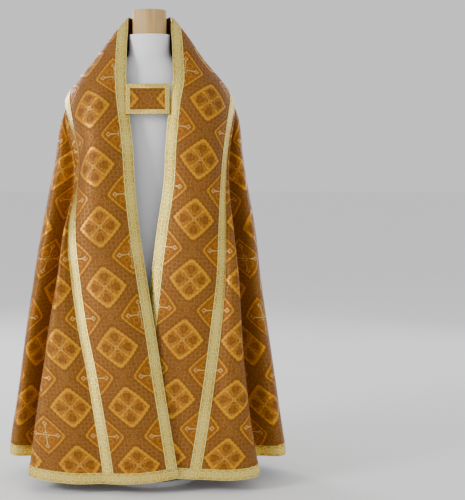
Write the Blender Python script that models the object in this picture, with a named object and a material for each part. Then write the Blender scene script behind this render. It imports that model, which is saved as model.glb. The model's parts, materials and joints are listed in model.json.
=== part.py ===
"""A cope on a limbless dress form: a half circle of brocade worn round the shoulders, with galloon
bands along its straight edge, round its orphrey and at its hem, a morse that closes it at the breast,
and a fringed hood on its back. Metres, +Z up, the wearer faces -Y, the origin is under the base."""

import math

import bmesh
import bpy
import numpy as np
from mathutils import Vector
from mathutils.geometry import delaunay_2d_cdt

# Cloth, from the outside of the panel: its wall lies inwards, what is sewn on it lies outwards.
CLOTH = 0.0020
TRIM = 0.0012
SEAM = 0.0003
LAY = 0.0005

GALLOON = 0.035
ORPHREY = 0.234
ACROSS = (0.0, GALLOON, 0.076, 0.117, 0.158, ORPHREY - GALLOON, ORPHREY)
COLLAR_REACH = 0.04
COLLAR_LEAN = math.radians(15)
COLLAR_ROWS = 22
COLLAR_COLUMNS = 3
BAND_LIFT = 0.0009

# Sections of the orphrey, from the centre back over the shoulder: its free edge, its middle line and
# its outer edge, each as (out, y, z), and how far the collar flares off the curve through the three.
SHOULDER = (
    # edge                     middle                    outer edge               flare
    ((0.000, 0.070, 1.452), (0.000, 0.122, 1.345), (0.000, 0.158, 1.244), 0.000),
    ((0.050, 0.055, 1.456), (0.070, 0.112, 1.348), (0.080, 0.152, 1.244), 0.004),
    ((0.066, 0.016, 1.455), (0.114, 0.082, 1.349), (0.132, 0.137, 1.242), 0.012),
    ((0.067, -0.014, 1.415), (0.148, 0.040, 1.345), (0.180, 0.112, 1.237), 0.022),
    ((0.070, -0.043, 1.366), (0.172, 0.002, 1.318), (0.220, 0.077, 1.229), 0.020),
    ((0.071, -0.072, 1.308), (0.190, -0.038, 1.282), (0.252, 0.035, 1.218), 0.012),
    ((0.071, -0.097, 1.250), (0.190, -0.085, 1.234), (0.264, -0.008, 1.190), 0.004),
)
LEFT_FRONT = (
    ((0.066, -0.114, 1.185), (0.188, -0.122, 1.170), (0.250, -0.045, 1.125)),
    ((0.052, -0.136, 1.062), (0.182, -0.152, 1.050), (0.219, -0.065, 1.010)),
    ((0.045, -0.150, 0.945), (0.172, -0.177, 0.935), (0.230, -0.100, 0.905)),
    ((0.032, -0.165, 0.812), (0.150, -0.200, 0.800), (0.250, -0.150, 0.785)),
    ((0.011, -0.181, 0.672), (0.130, -0.215, 0.660), (0.239, -0.163, 0.650)),
    ((-0.011, -0.191, 0.530), (0.108, -0.225, 0.520), (0.219, -0.180, 0.510)),
    ((-0.033, -0.203, 0.390), (0.083, -0.235, 0.385), (0.192, -0.197, 0.375)),
    ((-0.057, -0.211, 0.243), (0.060, -0.240, 0.240), (0.168, -0.210, 0.235)),
    ((-0.077, -0.219, 0.120), (0.040, -0.243, 0.115), (0.149, -0.218, 0.115)),
    ((-0.089, -0.224, 0.050), (0.028, -0.245, 0.038), (0.138, -0.222, 0.032)),
)
RIGHT_FRONT = (
    ((0.060, -0.114, 1.185), (0.181, -0.122, 1.165), (0.256, -0.040, 1.140)),
    ((0.050, -0.136, 1.062), (0.170, -0.153, 1.045), (0.242, -0.080, 1.035)),
    ((0.044, -0.149, 0.945), (0.155, -0.174, 0.930), (0.235, -0.110, 0.920)),
    ((0.024, -0.160, 0.812), (0.138, -0.190, 0.800), (0.234, -0.140, 0.790)),
    ((0.007, -0.165, 0.672), (0.122, -0.200, 0.660), (0.232, -0.160, 0.655)),
    ((-0.008, -0.168, 0.530), (0.108, -0.200, 0.520), (0.220, -0.178, 0.515)),
    ((-0.024, -0.172, 0.390), (0.092, -0.201, 0.385), (0.204, -0.193, 0.380)),
    ((-0.045, -0.177, 0.243), (0.072, -0.203, 0.240), (0.184, -0.203, 0.240)),
    ((-0.064, -0.181, 0.120), (0.055, -0.204, 0.118), (0.165, -0.208, 0.118)),
    ((-0.075, -0.183, 0.056), (0.045, -0.205, 0.046), (0.152, -0.211, 0.042)),
)
# Sections of the mantle, one for each section of a front: the front panel between the orphrey and its
# lip, the fold's lip, the valley behind it and the lobe that falls from the shoulder, each as (out, y),
# then the half width at the side and the depth at the centre back.
LEFT_FOLDS = (
    # front            lip               valley            lobe              side   back
    ((0.256, -0.038), (0.262, -0.030), (0.262, -0.015), (0.275, -0.012), 0.281, 0.170),
    ((0.225, -0.064), (0.232, -0.060), (0.238, -0.032), (0.283, -0.044), 0.300, 0.178),
    ((0.236, -0.095), (0.239, -0.082), (0.239, -0.034), (0.302, -0.060), 0.322, 0.186),
    ((0.258, -0.157), (0.261, -0.140), (0.249, -0.038), (0.322, -0.073), 0.343, 0.194),
    ((0.262, -0.172), (0.281, -0.158), (0.262, -0.042), (0.346, -0.083), 0.365, 0.202),
    ((0.265, -0.190), (0.307, -0.166), (0.282, -0.046), (0.370, -0.090), 0.387, 0.210),
    ((0.260, -0.206), (0.326, -0.174), (0.299, -0.051), (0.390, -0.095), 0.405, 0.218),
    ((0.254, -0.217), (0.344, -0.180), (0.316, -0.058), (0.408, -0.099), 0.420, 0.225),
    ((0.250, -0.224), (0.359, -0.186), (0.332, -0.066), (0.422, -0.102), 0.432, 0.231),
    ((0.248, -0.227), (0.368, -0.190), (0.342, -0.072), (0.428, -0.104), 0.437, 0.235),
)
RIGHT_FOLDS = (
    ((0.260, -0.034), (0.264, -0.027), (0.264, -0.014), (0.274, -0.011), 0.280, 0.170),
    ((0.247, -0.078), (0.250, -0.066), (0.248, -0.030), (0.284, -0.040), 0.295, 0.178),
    ((0.242, -0.110), (0.248, -0.092), (0.246, -0.033), (0.300, -0.056), 0.314, 0.186),
    ((0.246, -0.142), (0.259, -0.126), (0.254, -0.037), (0.318, -0.066), 0.337, 0.194),
    ((0.252, -0.166), (0.271, -0.148), (0.262, -0.041), (0.334, -0.076), 0.354, 0.202),
    ((0.254, -0.184), (0.281, -0.158), (0.272, -0.046), (0.352, -0.084), 0.374, 0.210),
    ((0.254, -0.196), (0.290, -0.166), (0.282, -0.052), (0.372, -0.092), 0.391, 0.218),
    ((0.256, -0.206), (0.307, -0.172), (0.298, -0.060), (0.392, -0.098), 0.410, 0.225),
    ((0.258, -0.212), (0.326, -0.178), (0.316, -0.066), (0.410, -0.102), 0.424, 0.231),
    ((0.259, -0.215), (0.338, -0.182), (0.328, -0.072), (0.420, -0.104), 0.432, 0.235),
)
# The hood, measured round the back and up: a shield with a border, three fields and their arches.
HOOD_WIDER = 0.022
HOOD_STANDOFF = 0.012
HOOD_HALF = 0.272
HOOD_TOP = 1.215
HOOD_DROOP = 0.028
HOOD_SHOULDER = 0.930
HOOD_LOWEST = 0.700
HOOD_ROUND = 2.4
HOOD_BAND = 0.031
HOOD_BORDER = 0.011
SATIN_CLOTH = 0.0010
SPRINGING = 1.012
ARCH_HALF = 0.133
ARCH_RISE = 0.145
SIDE_ARCH_RISE = 0.100
SIDE_ARCH_START = 0.14
SIDE_ARCH_CLEAR = 0.0025
ARCH_FOOT = math.radians(6)
PILLAR_IN = 0.141
PILLAR_OUT = 0.172
HOOD_LINES = (0.0, 0.028, 0.056, 0.084, 0.112, 0.133, 0.141, 0.172, 0.198, 0.224, 0.245, 0.2665, 0.272)
FRINGE_DEEP = 0.0060
FRINGE_SIDE = 0.022
FRINGE_DROP = 0.058
BUTTON = 0.0095
BUTTON_DEPTH = 0.0040
BUTTON_AT = (1.93, 4.35)
BUTTON_BELOW = 0.006

# The embroidery: an upright cross with leaved ends and two rosettes.
CROSSING = 0.985
ARMS = (
    # direction in quarter turns from +along, length
    (0, 0.088),
    (1, 0.088),
    (2, 0.088),
    (3, 0.215),
)
ARM_OUTLINE = (
    # across, back from the arm's tip
    (0.009, 0.062),
    (0.030, 0.052),
    (0.024, 0.030),
    (0.010, 0.024),
    (0.000, 0.000),
)
STEM_HALF = 0.009
ROSETTES = ((-0.080, 0.900), (0.080, 0.900))
ROSETTE = 0.026

# The morse, a tab across the breast: (left, right, low, high) and how far it leans back.
MORSE = (-0.073, 0.061, 1.149, 1.242)
MORSE_Y = -0.1055
MORSE_LEAN = 0.2366
MORSE_THICK = 0.0030
MORSE_FRAME = 0.014

# The form: level ovals of the torso, its neck block, its post and its foot.
TORSO = (
    # height, half width, half depth, middle
    (0.520, 0.166, 0.108, 0.000),
    (0.620, 0.168, 0.112, 0.000),
    (0.760, 0.158, 0.106, 0.000),
    (0.900, 0.142, 0.096, 0.000),
    (1.020, 0.148, 0.096, 0.002),
    (1.120, 0.158, 0.098, 0.006),
    (1.200, 0.160, 0.094, 0.012),
    (1.258, 0.148, 0.080, 0.016),
    (1.296, 0.118, 0.064, 0.014),
    (1.322, 0.084, 0.056, 0.006),
    (1.342, 0.066, 0.054, 0.000),
    (1.400, 0.064, 0.053, 0.000),
)
FORM_SIDES = 32
NECK_BLOCK = 0.053
NECK_LOW = 1.4003
NECK_HIGH = 1.476
FOOT = 0.160
FOOT_HIGH = 0.018
POST = 0.016

# The cone of ovals that the hood lies on: at its top, the half width and half depth of the mantle
# there, and how much each grows for a metre down.
BACK_HIGH = 1.244
BACK_HALF = (0.272, 0.157)
BACK_DEPTH = (0.158, 0.074)
# Where the mantle's columns leave the outer edge, counted in sections from the centre back.
COLUMN_AT = (6.0, 5.8, 5.6, 5.4, 5.1, 4.7, 3.9, 2.7, 1.35, 0.0)
# The hem's height under each of those columns, less the first, which is the orphrey's own.
LEFT_HEM = (0.034, 0.048, 0.074, 0.090, 0.098, 0.088, 0.066, 0.052, 0.050)
RIGHT_HEM = (0.040, 0.050, 0.074, 0.088, 0.098, 0.088, 0.066, 0.052, 0.050)
BACK_TURNS = (math.radians(6), math.radians(28), math.radians(50), math.radians(70), math.radians(90))
SHOULDER_SECTIONS = len(SHOULDER) - 1
SECTIONS = SHOULDER_SECTIONS + len(LEFT_FRONT)
HEM_BAND_AT = SECTIONS - 0.42
HEM_BAND = 0.033
# How much the ring above the hem rises and falls with it.
HEM_FOLLOW = 0.6


def between(points, at):
    """The point at a section number, on a Catmull-Rom curve through evenly numbered points."""
    points = np.asarray(points, float)
    last = len(points) - 1
    first = min(int(at), last - 1)
    t = at - first
    a = points[max(first - 1, 0)] if first > 0 else 2 * points[0] - points[1]
    b, c = points[first], points[first + 1]
    d = points[first + 2] if first + 2 <= last else 2 * points[last] - points[last - 1]
    return 0.5 * (
        2 * b + (c - a) * t + (2 * a - 5 * b + 4 * c - d) * t * t + (3 * b - a - 3 * c + d) * t**3
    )


def halfway(numbers):
    """The numbers with one more halfway between each two."""
    out = [numbers[0]]
    for a, b in zip(numbers, numbers[1:]):
        out += [(a + b) / 2, b]
    return out


def grid_normals(grid):
    """Unit normals of a grid of points, along rows x columns."""
    down = np.gradient(grid, axis=0)
    along = np.gradient(grid, axis=1)
    normal = np.cross(down, along)
    return normal / np.linalg.norm(normal, axis=2, keepdims=True)


def level_hem_band(grid):
    """Moves the last row but one to the hem band's height above the last, along each column."""
    for column in range(grid.shape[1]):
        line = grid[[-1, -3, -4], column]
        run = np.concatenate([[0.0], np.cumsum(np.linalg.norm(np.diff(line, axis=0), axis=1))])
        grid[-2, column] = [np.interp(HEM_BAND, run, line[:, k]) for k in range(3)]


class Half:
    """One half of the cope, on the wearer's side -1 or 1 of x, as grids of points and normals."""

    def __init__(self, side, front, folds, hem):
        self.side = side
        out = np.array([side, 1.0, 1.0])
        sections = [row[:3] for row in SHOULDER] + list(front)
        self.sections = np.array(sections) * out
        self.flares = [row[3] for row in SHOULDER] + [0.0] * len(front)
        self.over = sorted(halfway(COLUMN_AT))
        self.down = [SHOULDER_SECTIONS + n / 2 for n in range(1, 2 * len(front) - 1)]
        self.down += [HEM_BAND_AT, SECTIONS]
        self.orphrey = self.orphrey_grid(self.over + self.down)
        self.mantle = self.mantle_grid(folds, hem, out)
        for grid in (self.orphrey, self.mantle):
            level_hem_band(grid)
        self.orphrey_out = grid_normals(self.orphrey) * side
        self.mantle_out = grid_normals(self.mantle) * side
        self.share_outer_edge()

    def orphrey_grid(self, rows):
        """Rows run from the centre back to the hem, columns from the free edge to the outer edge."""
        t = np.array(ACROSS)
        u = t / ORPHREY
        weights = np.stack([2 * (u - 0.5) * (u - 1), 4 * u * (1 - u), 2 * u * (u - 0.5)])
        lines = [between(self.sections[:, k], at) for at in rows for k in range(3)]
        lines = np.array(lines).reshape(len(rows), 3, 3)
        grid = np.einsum("kc,rkx->rcx", weights, lines)
        flare = np.array([between(self.flares, at) for at in rows])
        bump = t / COLLAR_REACH * np.exp(1 - t / COLLAR_REACH) * (1 - u)
        lift = np.array([self.side * math.sin(COLLAR_LEAN), 0.0, math.cos(COLLAR_LEAN)])
        return grid + lift * flare[:, None, None] * bump[None, :, None]

    def mantle_grid(self, folds, hem, out):
        """Rows run from the outer edge's shoulder stretch to the hem, columns from the front to the back."""
        outer = self.sections[:, 2]
        controls = [[between(outer, at) for at in COLUMN_AT]]
        for number, (*pairs, width, depth) in enumerate(folds):
            start = outer[SHOULDER_SECTIONS + 1 + number]
            turns = [(width * math.cos(a), depth * math.sin(a)) for a in BACK_TURNS]
            level = [start[2]] * (len(COLUMN_AT) - 1)
            if number == len(folds) - 2:
                level = [start[2] + HEM_FOLLOW * (height - hem[0]) for height in hem]
            if number == len(folds) - 1:
                level = hem
            ring = [np.array([x, y, z]) * out for (x, y), z in zip(pairs + turns, level)]
            controls.append([start] + ring)
        controls = np.array(controls)
        rows = [0.0] + [at - SHOULDER_SECTIONS for at in self.down]
        columns = halfway(range(len(COLUMN_AT)))
        swept = np.array([between(controls, at) for at in rows])
        grid = np.array([between(swept.transpose(1, 0, 2), at) for at in columns]).transpose(1, 0, 2)
        shoulder = len(self.over)
        grid[0] = self.orphrey[:shoulder, -1][::-1]
        grid[:, 0] = self.orphrey[shoulder - 1 :, -1]
        return grid

    def share_outer_edge(self):
        """One normal for the orphrey and the mantle wherever they are sewn together."""
        shoulder = len(self.over)
        over = self.orphrey_out[:shoulder, -1] + self.mantle_out[0, ::-1]
        front = self.orphrey_out[shoulder - 1 :, -1] + self.mantle_out[:, 0]
        over /= np.linalg.norm(over, axis=1, keepdims=True)
        front /= np.linalg.norm(front, axis=1, keepdims=True)
        self.orphrey_out[:shoulder, -1] = over
        self.mantle_out[0] = over[::-1]
        self.orphrey_out[shoulder - 1 :, -1] = front
        self.mantle_out[:, 0] = front
        for grid in (self.orphrey_out, self.mantle_out[:, ::-1].transpose(1, 0, 2)):
            grid[0, :, 0] = 0.0
            grid[0] /= np.linalg.norm(grid[0], axis=1, keepdims=True)


def on_centre_back(half, along, t):
    """A point and its normal a given distance from the centre back, on the orphrey at t across it."""
    u = t / ORPHREY
    weights = (2 * (u - 0.5) * (u - 1), 4 * u * (1 - u), 2 * u * (u - 0.5))

    def place(at):
        lines = [between(half.sections[:, k], at) for k in range(3)]
        return sum(w * line for w, line in zip(weights, lines))

    at = along / abs(place(1.0)[0])
    point = place(at)
    step = 0.01
    turn = place(at + step) - place(max(at - step, 0.0))
    fall = between(half.sections[:, 2], at) - between(half.sections[:, 0], at)
    normal = np.cross(turn, fall) * half.side
    return point, normal / np.linalg.norm(normal)


def trimmed(grid, rows=(0, 0), columns=(0, 0)):
    """The grid with the given borders drawn in by half a seam, so that neighbours don't touch."""
    grid = grid.copy()
    for axis, (first, last) in enumerate((rows, columns)):
        lines = grid if axis == 0 else grid.transpose(1, 0, 2)
        for wanted, edge, inner in ((first, 0, 1), (last, -1, -2)):
            if wanted:
                step = lines[inner] - lines[edge]
                lines[edge] += step / np.linalg.norm(step, axis=1, keepdims=True) * SEAM / 2
    return grid


def wall(name, points, normals, low, high, material):
    """A closed wall on a grid of points, between two heights along its normals."""
    rows, columns = points.shape[:2]
    mesh = bmesh.new()
    layers = []
    for height in (low, high):
        layer = (points + normals * height).reshape(-1, 3)
        layers.append([mesh.verts.new(p) for p in layer])
    for r in range(rows - 1):
        for c in range(columns - 1):
            a = r * columns + c
            for near, far in ((a, a + 1), (a + columns + 1, a + columns)):
                third = a + columns if near == a else a + 1
                mesh.faces.new([layers[1][near], layers[1][far], layers[1][third]])
                mesh.faces.new([layers[0][third], layers[0][far], layers[0][near]])
    border = list(range(columns))
    border += [r * columns + columns - 1 for r in range(1, rows)]
    border += [(rows - 1) * columns + c for c in range(columns - 2, -1, -1)]
    border += [r * columns for r in range(rows - 2, 0, -1)]
    for a, b in zip(border, border[1:] + border[:1]):
        mesh.faces.new([layers[1][b], layers[1][a], layers[0][a], layers[0][b]])
    bmesh.ops.triangulate(mesh, faces=[f for f in mesh.faces if len(f.verts) > 3])
    bmesh.ops.recalc_face_normals(mesh, faces=mesh.faces)
    return finished(name, mesh, material)


def finished(name, mesh, material):
    """A bmesh as an object in the cope's collection, shaded smooth up to its sharp edges."""
    data = bpy.data.meshes.new(name)
    mesh.to_mesh(data)
    mesh.free()
    data.shade_smooth()
    data.set_sharp_from_angle(angle=math.radians(35))
    data.materials.append(material)
    thing = bpy.data.objects.new(name, data)
    collection.objects.link(thing)
    return thing


def paint(name, colour, roughness, metallic=0.0):
    """A Principled material."""
    material = bpy.data.materials.new(name)
    material.use_nodes = True
    shader = material.node_tree.nodes["Principled BSDF"]
    shader.inputs["Base Color"].default_value = (*colour, 1.0)
    shader.inputs["Roughness"].default_value = roughness
    shader.inputs["Metallic"].default_value = metallic
    return material


def loft(name, rings, material):
    """A closed skin through level rings of points, from the lowest to the highest."""
    mesh = bmesh.new()
    loops = [[mesh.verts.new(p) for p in ring] for ring in rings]
    for low, high in zip(loops, loops[1:]):
        for a in range(len(low)):
            b = (a + 1) % len(low)
            mesh.faces.new([low[a], low[b], high[b], high[a]])
    mesh.faces.new(loops[0][::-1])
    mesh.faces.new(loops[-1])
    return finished(name, mesh, material)


def ellipse(width, depth, centre, height, count=FORM_SIDES):
    """A level ring of points with a half width and a half depth, its middle at y = centre."""
    turns = [2 * math.pi * k / count for k in range(count)]
    return [(width * math.cos(a), centre + depth * math.sin(a), height) for a in turns]


def hood_point(along, height):
    """A point of the hood's inner face and its outward normal, at a distance round the back."""
    width = BACK_HALF[0] + BACK_HALF[1] * (BACK_HIGH - height) + HOOD_WIDER
    depth = BACK_DEPTH[0] + BACK_DEPTH[1] * (BACK_HIGH - height) + HOOD_STANDOFF
    turns = np.linspace(0.0, math.pi / 2, 91)
    speeds = np.hypot(width * np.cos(turns), depth * np.sin(turns))
    lengths = np.concatenate([[0.0], np.cumsum((speeds[1:] + speeds[:-1]) / 2 * np.diff(turns))])
    turn = math.copysign(np.interp(abs(along), lengths, turns), along)
    point = np.array([width * math.sin(turn), depth * math.cos(turn), height])
    normal = np.array([depth * math.sin(turn), width * math.cos(turn), 0.0])
    return point, normal / np.linalg.norm(normal)


def hood_wall(name, places, low, high, material):
    """A wall on the hood, from rows x columns of (distance round the back, height)."""
    found = [[hood_point(*place) for place in row] for row in places]
    points = np.array([[point for point, _ in row] for row in found])
    normals = np.array([[normal for _, normal in row] for row in found])
    return wall(name, points, normals, low, high, material)


def hood_top(along):
    """The height of the hood's top edge."""
    return HOOD_TOP - HOOD_DROOP * (along / HOOD_HALF) ** 2


def hood_bottom(along, inset=0.0):
    """The height of the hood's rounded lower edge, or of a line inside it."""
    half = HOOD_HALF - inset
    share = min(abs(along) / half, 1.0)
    reach = HOOD_SHOULDER - HOOD_LOWEST - inset
    return HOOD_SHOULDER - reach * (1 - share**HOOD_ROUND) ** (1 / HOOD_ROUND)


def arch(along, inset=0.0):
    """The height of the arch over the hood's middle, or of a line inside it."""
    share = min(abs(along) / (ARCH_HALF - inset), 1.0)
    return SPRINGING + (ARCH_RISE - inset) * math.sqrt(1 - share**2)


def lines_between(first, last):
    """The hood's column lines from one distance to another, both included."""
    lines = sorted({-a for a in HOOD_LINES} | set(HOOD_LINES) | {first, last})
    return [a for a in lines if first <= a <= last]


def hood_field(name, first, last, bottom, top, low, high, material, rows=5):
    """A patch on the hood between two distances and two height functions."""
    columns = lines_between(first, last)
    shares = np.linspace(0.0, 1.0, rows)
    places = [[(a, top(a) + (bottom(a) - top(a)) * share) for a in columns] for share in shares]
    return hood_wall(name, places, low, high, material)


def hood_band(name, path, width, low, high, material):
    """A band of trim on the hood, its outer edge on a path, its width to the path's right."""
    path = np.array(path)
    ahead = np.gradient(path, axis=0)
    ahead /= np.linalg.norm(ahead, axis=1, keepdims=True)
    inward = np.stack([ahead[:, 1], -ahead[:, 0]], axis=1)
    places = [[tuple(p), tuple(p + n * width)] for p, n in zip(path, inward)]
    return hood_wall(name, places, low, high, material)


def shield_path(inset, steps=16):
    """The hood's outline inside its edge by an inset, down its left side, round and up its right."""
    half = HOOD_HALF - inset
    reach = HOOD_SHOULDER - HOOD_LOWEST - inset
    drop = HOOD_SHOULDER - hood_top(half)
    side = [(-half, hood_top(half) + drop * k / 5) for k in range(5)]
    power = 2 / HOOD_ROUND
    turns = [math.pi * k / (2 * steps) for k in range(steps + 1)]
    curve = [(-half * math.cos(a) ** power, HOOD_SHOULDER - reach * math.sin(a) ** power) for a in turns]
    left_side = side + curve
    return left_side + [(-a, z) for a, z in left_side[-2::-1]]


def covered_button(name, point, normal):
    """A flattened ball whose axis is the normal."""
    mesh = bmesh.new()
    bmesh.ops.create_uvsphere(mesh, u_segments=12, v_segments=6, radius=BUTTON)
    bmesh.ops.scale(mesh, vec=(1.0, 1.0, BUTTON_DEPTH / BUTTON), verts=mesh.verts)
    thing = finished(name, mesh, BUTTON_CLOTH)
    thing.rotation_euler = Vector(normal).to_track_quat("Z", "Y").to_euler()
    thing.location = Vector(point) + Vector(normal) * (BUTTON_DEPTH + TRIM + 2 * SEAM)
    return thing


def turned(name, radius, low, high, bevel, material, squash=1.0):
    """An upright disc or post with rounded rims."""
    mesh = bmesh.new()
    bmesh.ops.create_cone(
        mesh, cap_ends=True, segments=FORM_SIDES, radius1=radius, radius2=radius, depth=high - low
    )
    bmesh.ops.scale(mesh, vec=(1.0, squash, 1.0), verts=mesh.verts)
    rims = [e for e in mesh.edges if abs(e.verts[0].co.z - e.verts[1].co.z) < 1e-6]
    if bevel:
        bmesh.ops.bevel(mesh, geom=rims, offset=bevel, segments=2, affect="EDGES", profile=0.5)
    bmesh.ops.translate(mesh, vec=(0.0, 0.0, (low + high) / 2), verts=mesh.verts)
    return finished(name, mesh, material)


for thing in list(bpy.data.objects):
    bpy.data.objects.remove(thing)
collection = bpy.data.collections.new("cope_vestment_on_dress_form")
bpy.context.scene.collection.children.link(collection)

BROCADE = paint("brocade", (0.42, 0.18, 0.04), 0.5)
GOLD = paint("galloon", (0.58, 0.45, 0.18), 0.4, 0.5)
LINING = paint("lining", (0.10, 0.035, 0.015), 0.7)
SATIN = paint("satin", (0.68, 0.62, 0.54), 0.35)
THREAD = paint("gold_thread", (0.55, 0.36, 0.04), 0.45)
FRINGE = paint("bullion", (0.33, 0.24, 0.10), 0.6, 0.3)
BUTTON_CLOTH = paint("button_cloth", (0.25, 0.10, 0.03), 0.6)
LINEN = paint("form_cover", (0.62, 0.62, 0.64), 0.8)
WOOD = paint("wood", (0.58, 0.45, 0.24), 0.5)
METAL = paint("painted_metal", (0.70, 0.70, 0.71), 0.4)

left = Half(-1, LEFT_FRONT, LEFT_FOLDS, LEFT_HEM)
right = Half(1, RIGHT_FRONT, RIGHT_FOLDS, RIGHT_HEM)
halves = (("left", left), ("right", right))

# The mantle and the orphrey, and the galloon on them.
for side, half in halves:
    panel = trimmed(half.orphrey, (1, 0), (0, 1))
    wall(f"orphrey_{side}", panel, half.orphrey_out, -CLOTH, 0.0, BROCADE)
    panel = trimmed(half.mantle, (1, 0), (1, 1))
    wall(f"mantle_{side}", panel, half.mantle_out, -CLOTH, 0.0, BROCADE)
    for name, first in (("edge", 0), ("inner", len(ACROSS) - 2)):
        band = trimmed(half.orphrey[:-1, first : first + 2], (1, 1))
        wall(f"{name}_galloon_{side}", band, half.orphrey_out[:-1, first : first + 2], SEAM, SEAM + TRIM, GOLD)
    hem = np.concatenate([half.orphrey[-2:], half.mantle[-2:, 1:]], axis=1)
    hem_out = np.concatenate([half.orphrey_out[-2:], half.mantle_out[-2:, 1:]], axis=1)
    wall(f"hem_galloon_{side}", trimmed(hem, (1, 0), (0, 1)), hem_out, SEAM, SEAM + TRIM, GOLD)
    facing = trimmed(half.orphrey[:COLLAR_ROWS, :COLLAR_COLUMNS], (1, 0))
    depth = CLOTH + SEAM
    facing_out = half.orphrey_out[:COLLAR_ROWS, :COLLAR_COLUMNS]
    wall(f"collar_facing_{side}", facing, facing_out, -depth - TRIM, -depth, LINING)

# The short band down the back of the collar.
stops = np.array(ACROSS[1:-1]) + np.array([2 * SEAM, 0.0, 0.0, 0.0, -2 * SEAM])
found = []
for t in stops:
    row = [on_centre_back(left, GALLOON / 2, t), on_centre_back(left, GALLOON / 4, t)]
    row.append(on_centre_back(left, 0.0, t))
    row += [on_centre_back(right, GALLOON / 4, t), on_centre_back(right, GALLOON / 2, t)]
    found.append(row)
points = np.array([[point for point, _ in row] for row in found])
normals = np.array([[normal for _, normal in row] for row in found])
wall("collar_band", points, normals, BAND_LIFT, BAND_LIFT + TRIM, GOLD)

# The hood: its brocade, the satin fields, the galloon that divides them, its border and its fringe.
hood_field("hood", -HOOD_HALF, HOOD_HALF, hood_bottom, hood_top, 0.0, CLOTH, BROCADE, rows=7)
on_hood = CLOTH + LAY
on_satin = on_hood + TRIM + LAY
inside = HOOD_BORDER / 2


def lower_line(along):
    """The bottom of what lies on the hood, halfway under its border."""
    return hood_bottom(along, inside)


def arch_line(along):
    """The top of the middle field, halfway under its arch."""
    return arch(along, inside)


def side_arch_line(along):
    """The top of a side field: a quarter arch that rises to the hood's edge."""
    run = (abs(along) - PILLAR_OUT) / (HOOD_HALF - PILLAR_OUT)
    return SPRINGING + SIDE_ARCH_RISE * math.sqrt(max(1 - (1 - run) ** 2, 0.0))


middle = PILLAR_IN - SEAM
hood_field("satin_middle", -middle, middle, lower_line, arch_line, on_hood, on_hood + SATIN_CLOTH, SATIN, 6)
reach = HOOD_HALF - inside
spans = (("left", -reach, -PILLAR_OUT - SEAM), ("right", PILLAR_OUT + SEAM, reach))
for side, first, last in spans:
    field_top = on_hood + SATIN_CLOTH
    hood_field(f"satin_{side}", first, last, lower_line, side_arch_line, on_hood, field_top, SATIN)


def pillar_top(along):
    """Pillars end halfway under their caps."""
    return SPRINGING + inside


def band_bottom(along):
    """The lower edge of the band along the hood's top."""
    return hood_top(along) - HOOD_BAND


for side, sign in (("left", -1), ("right", 1)):
    first, last = sorted((sign * PILLAR_IN, sign * PILLAR_OUT))
    top = on_hood + TRIM
    hood_field(f"pillar_{side}", first, last, lower_line, pillar_top, on_hood, top, GOLD, 6)
    first, last = sorted((sign * (PILLAR_IN - HOOD_BORDER), sign * (PILLAR_OUT + HOOD_BORDER)))
    cap = [(first, SPRINGING + HOOD_BORDER), (last, SPRINGING + HOOD_BORDER)]
    cap.insert(1, ((first + last) / 2, SPRINGING + HOOD_BORDER))
    hood_band(f"cap_{side}", cap, HOOD_BORDER, on_satin, on_satin + TRIM, GOLD)
    steps = np.linspace(SIDE_ARCH_START, 1.0, 9)
    run = HOOD_HALF - PILLAR_OUT - HOOD_BORDER - SIDE_ARCH_CLEAR
    quarter = [PILLAR_OUT + run * (1 - math.cos(math.pi / 2 * k)) for k in steps]
    path = [(sign * a, side_arch_line(a) + inside) for a in quarter]
    hood_band(f"side_arch_{side}", path[::sign], HOOD_BORDER, on_satin, on_satin + TRIM, GOLD)

turns = np.linspace(math.pi - ARCH_FOOT, ARCH_FOOT, 19)
path = [(ARCH_HALF * math.cos(a), SPRINGING + ARCH_RISE * math.sin(a)) for a in turns]
hood_band("arch", path, HOOD_BORDER, on_satin, on_satin + TRIM, GOLD)
hood_field("hood_band", -HOOD_HALF, HOOD_HALF, band_bottom, hood_top, on_hood, on_hood + TRIM, GOLD, 3)
outline = [place for place in shield_path(0.0) if place[1] < band_bottom(place[0]) - SEAM]
hood_band("hood_border", outline[::-1], HOOD_BORDER, on_satin, on_satin + TRIM, GOLD)

# The fringe reaches less at the sides, where its cords hang down along the edge.
outline = np.array(shield_path(-SEAM))
ahead = np.gradient(outline, axis=0)
ahead /= np.linalg.norm(ahead, axis=1, keepdims=True)
outward = np.stack([ahead[:, 1], -ahead[:, 0]], axis=1)
reach = FRINGE_SIDE + (FRINGE_DROP - FRINGE_SIDE) * np.clip(-outward[:, 1:], 0.0, 1.0)
places = [[tuple(p), tuple(p + n * w)] for p, n, w in zip(outline, outward, reach)]
hood_wall("hood_fringe", places, 0.0, FRINGE_DEEP, FRINGE)


def hood_cutout(name, outline, low, high, material):
    """A flat figure on the hood, from its outline as (distance round the back, height)."""
    found = [hood_point(*place) for place in outline]
    mesh = bmesh.new()
    layers = [[mesh.verts.new(p + n * height) for p, n in found] for height in (low, high)]
    flat = [Vector(place) for place in outline]
    triangles = delaunay_2d_cdt(flat, [], [list(range(len(flat)))], 1, 1e-6)[2]
    for corners in triangles:
        for layer in layers:
            mesh.faces.new([layer[c] for c in corners])
    for a in range(len(outline)):
        b = (a + 1) % len(outline)
        mesh.faces.new([layers[0][a], layers[0][b], layers[1][b], layers[1][a]])
    bmesh.ops.recalc_face_normals(mesh, faces=mesh.faces)
    return finished(name, mesh, material)


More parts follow.
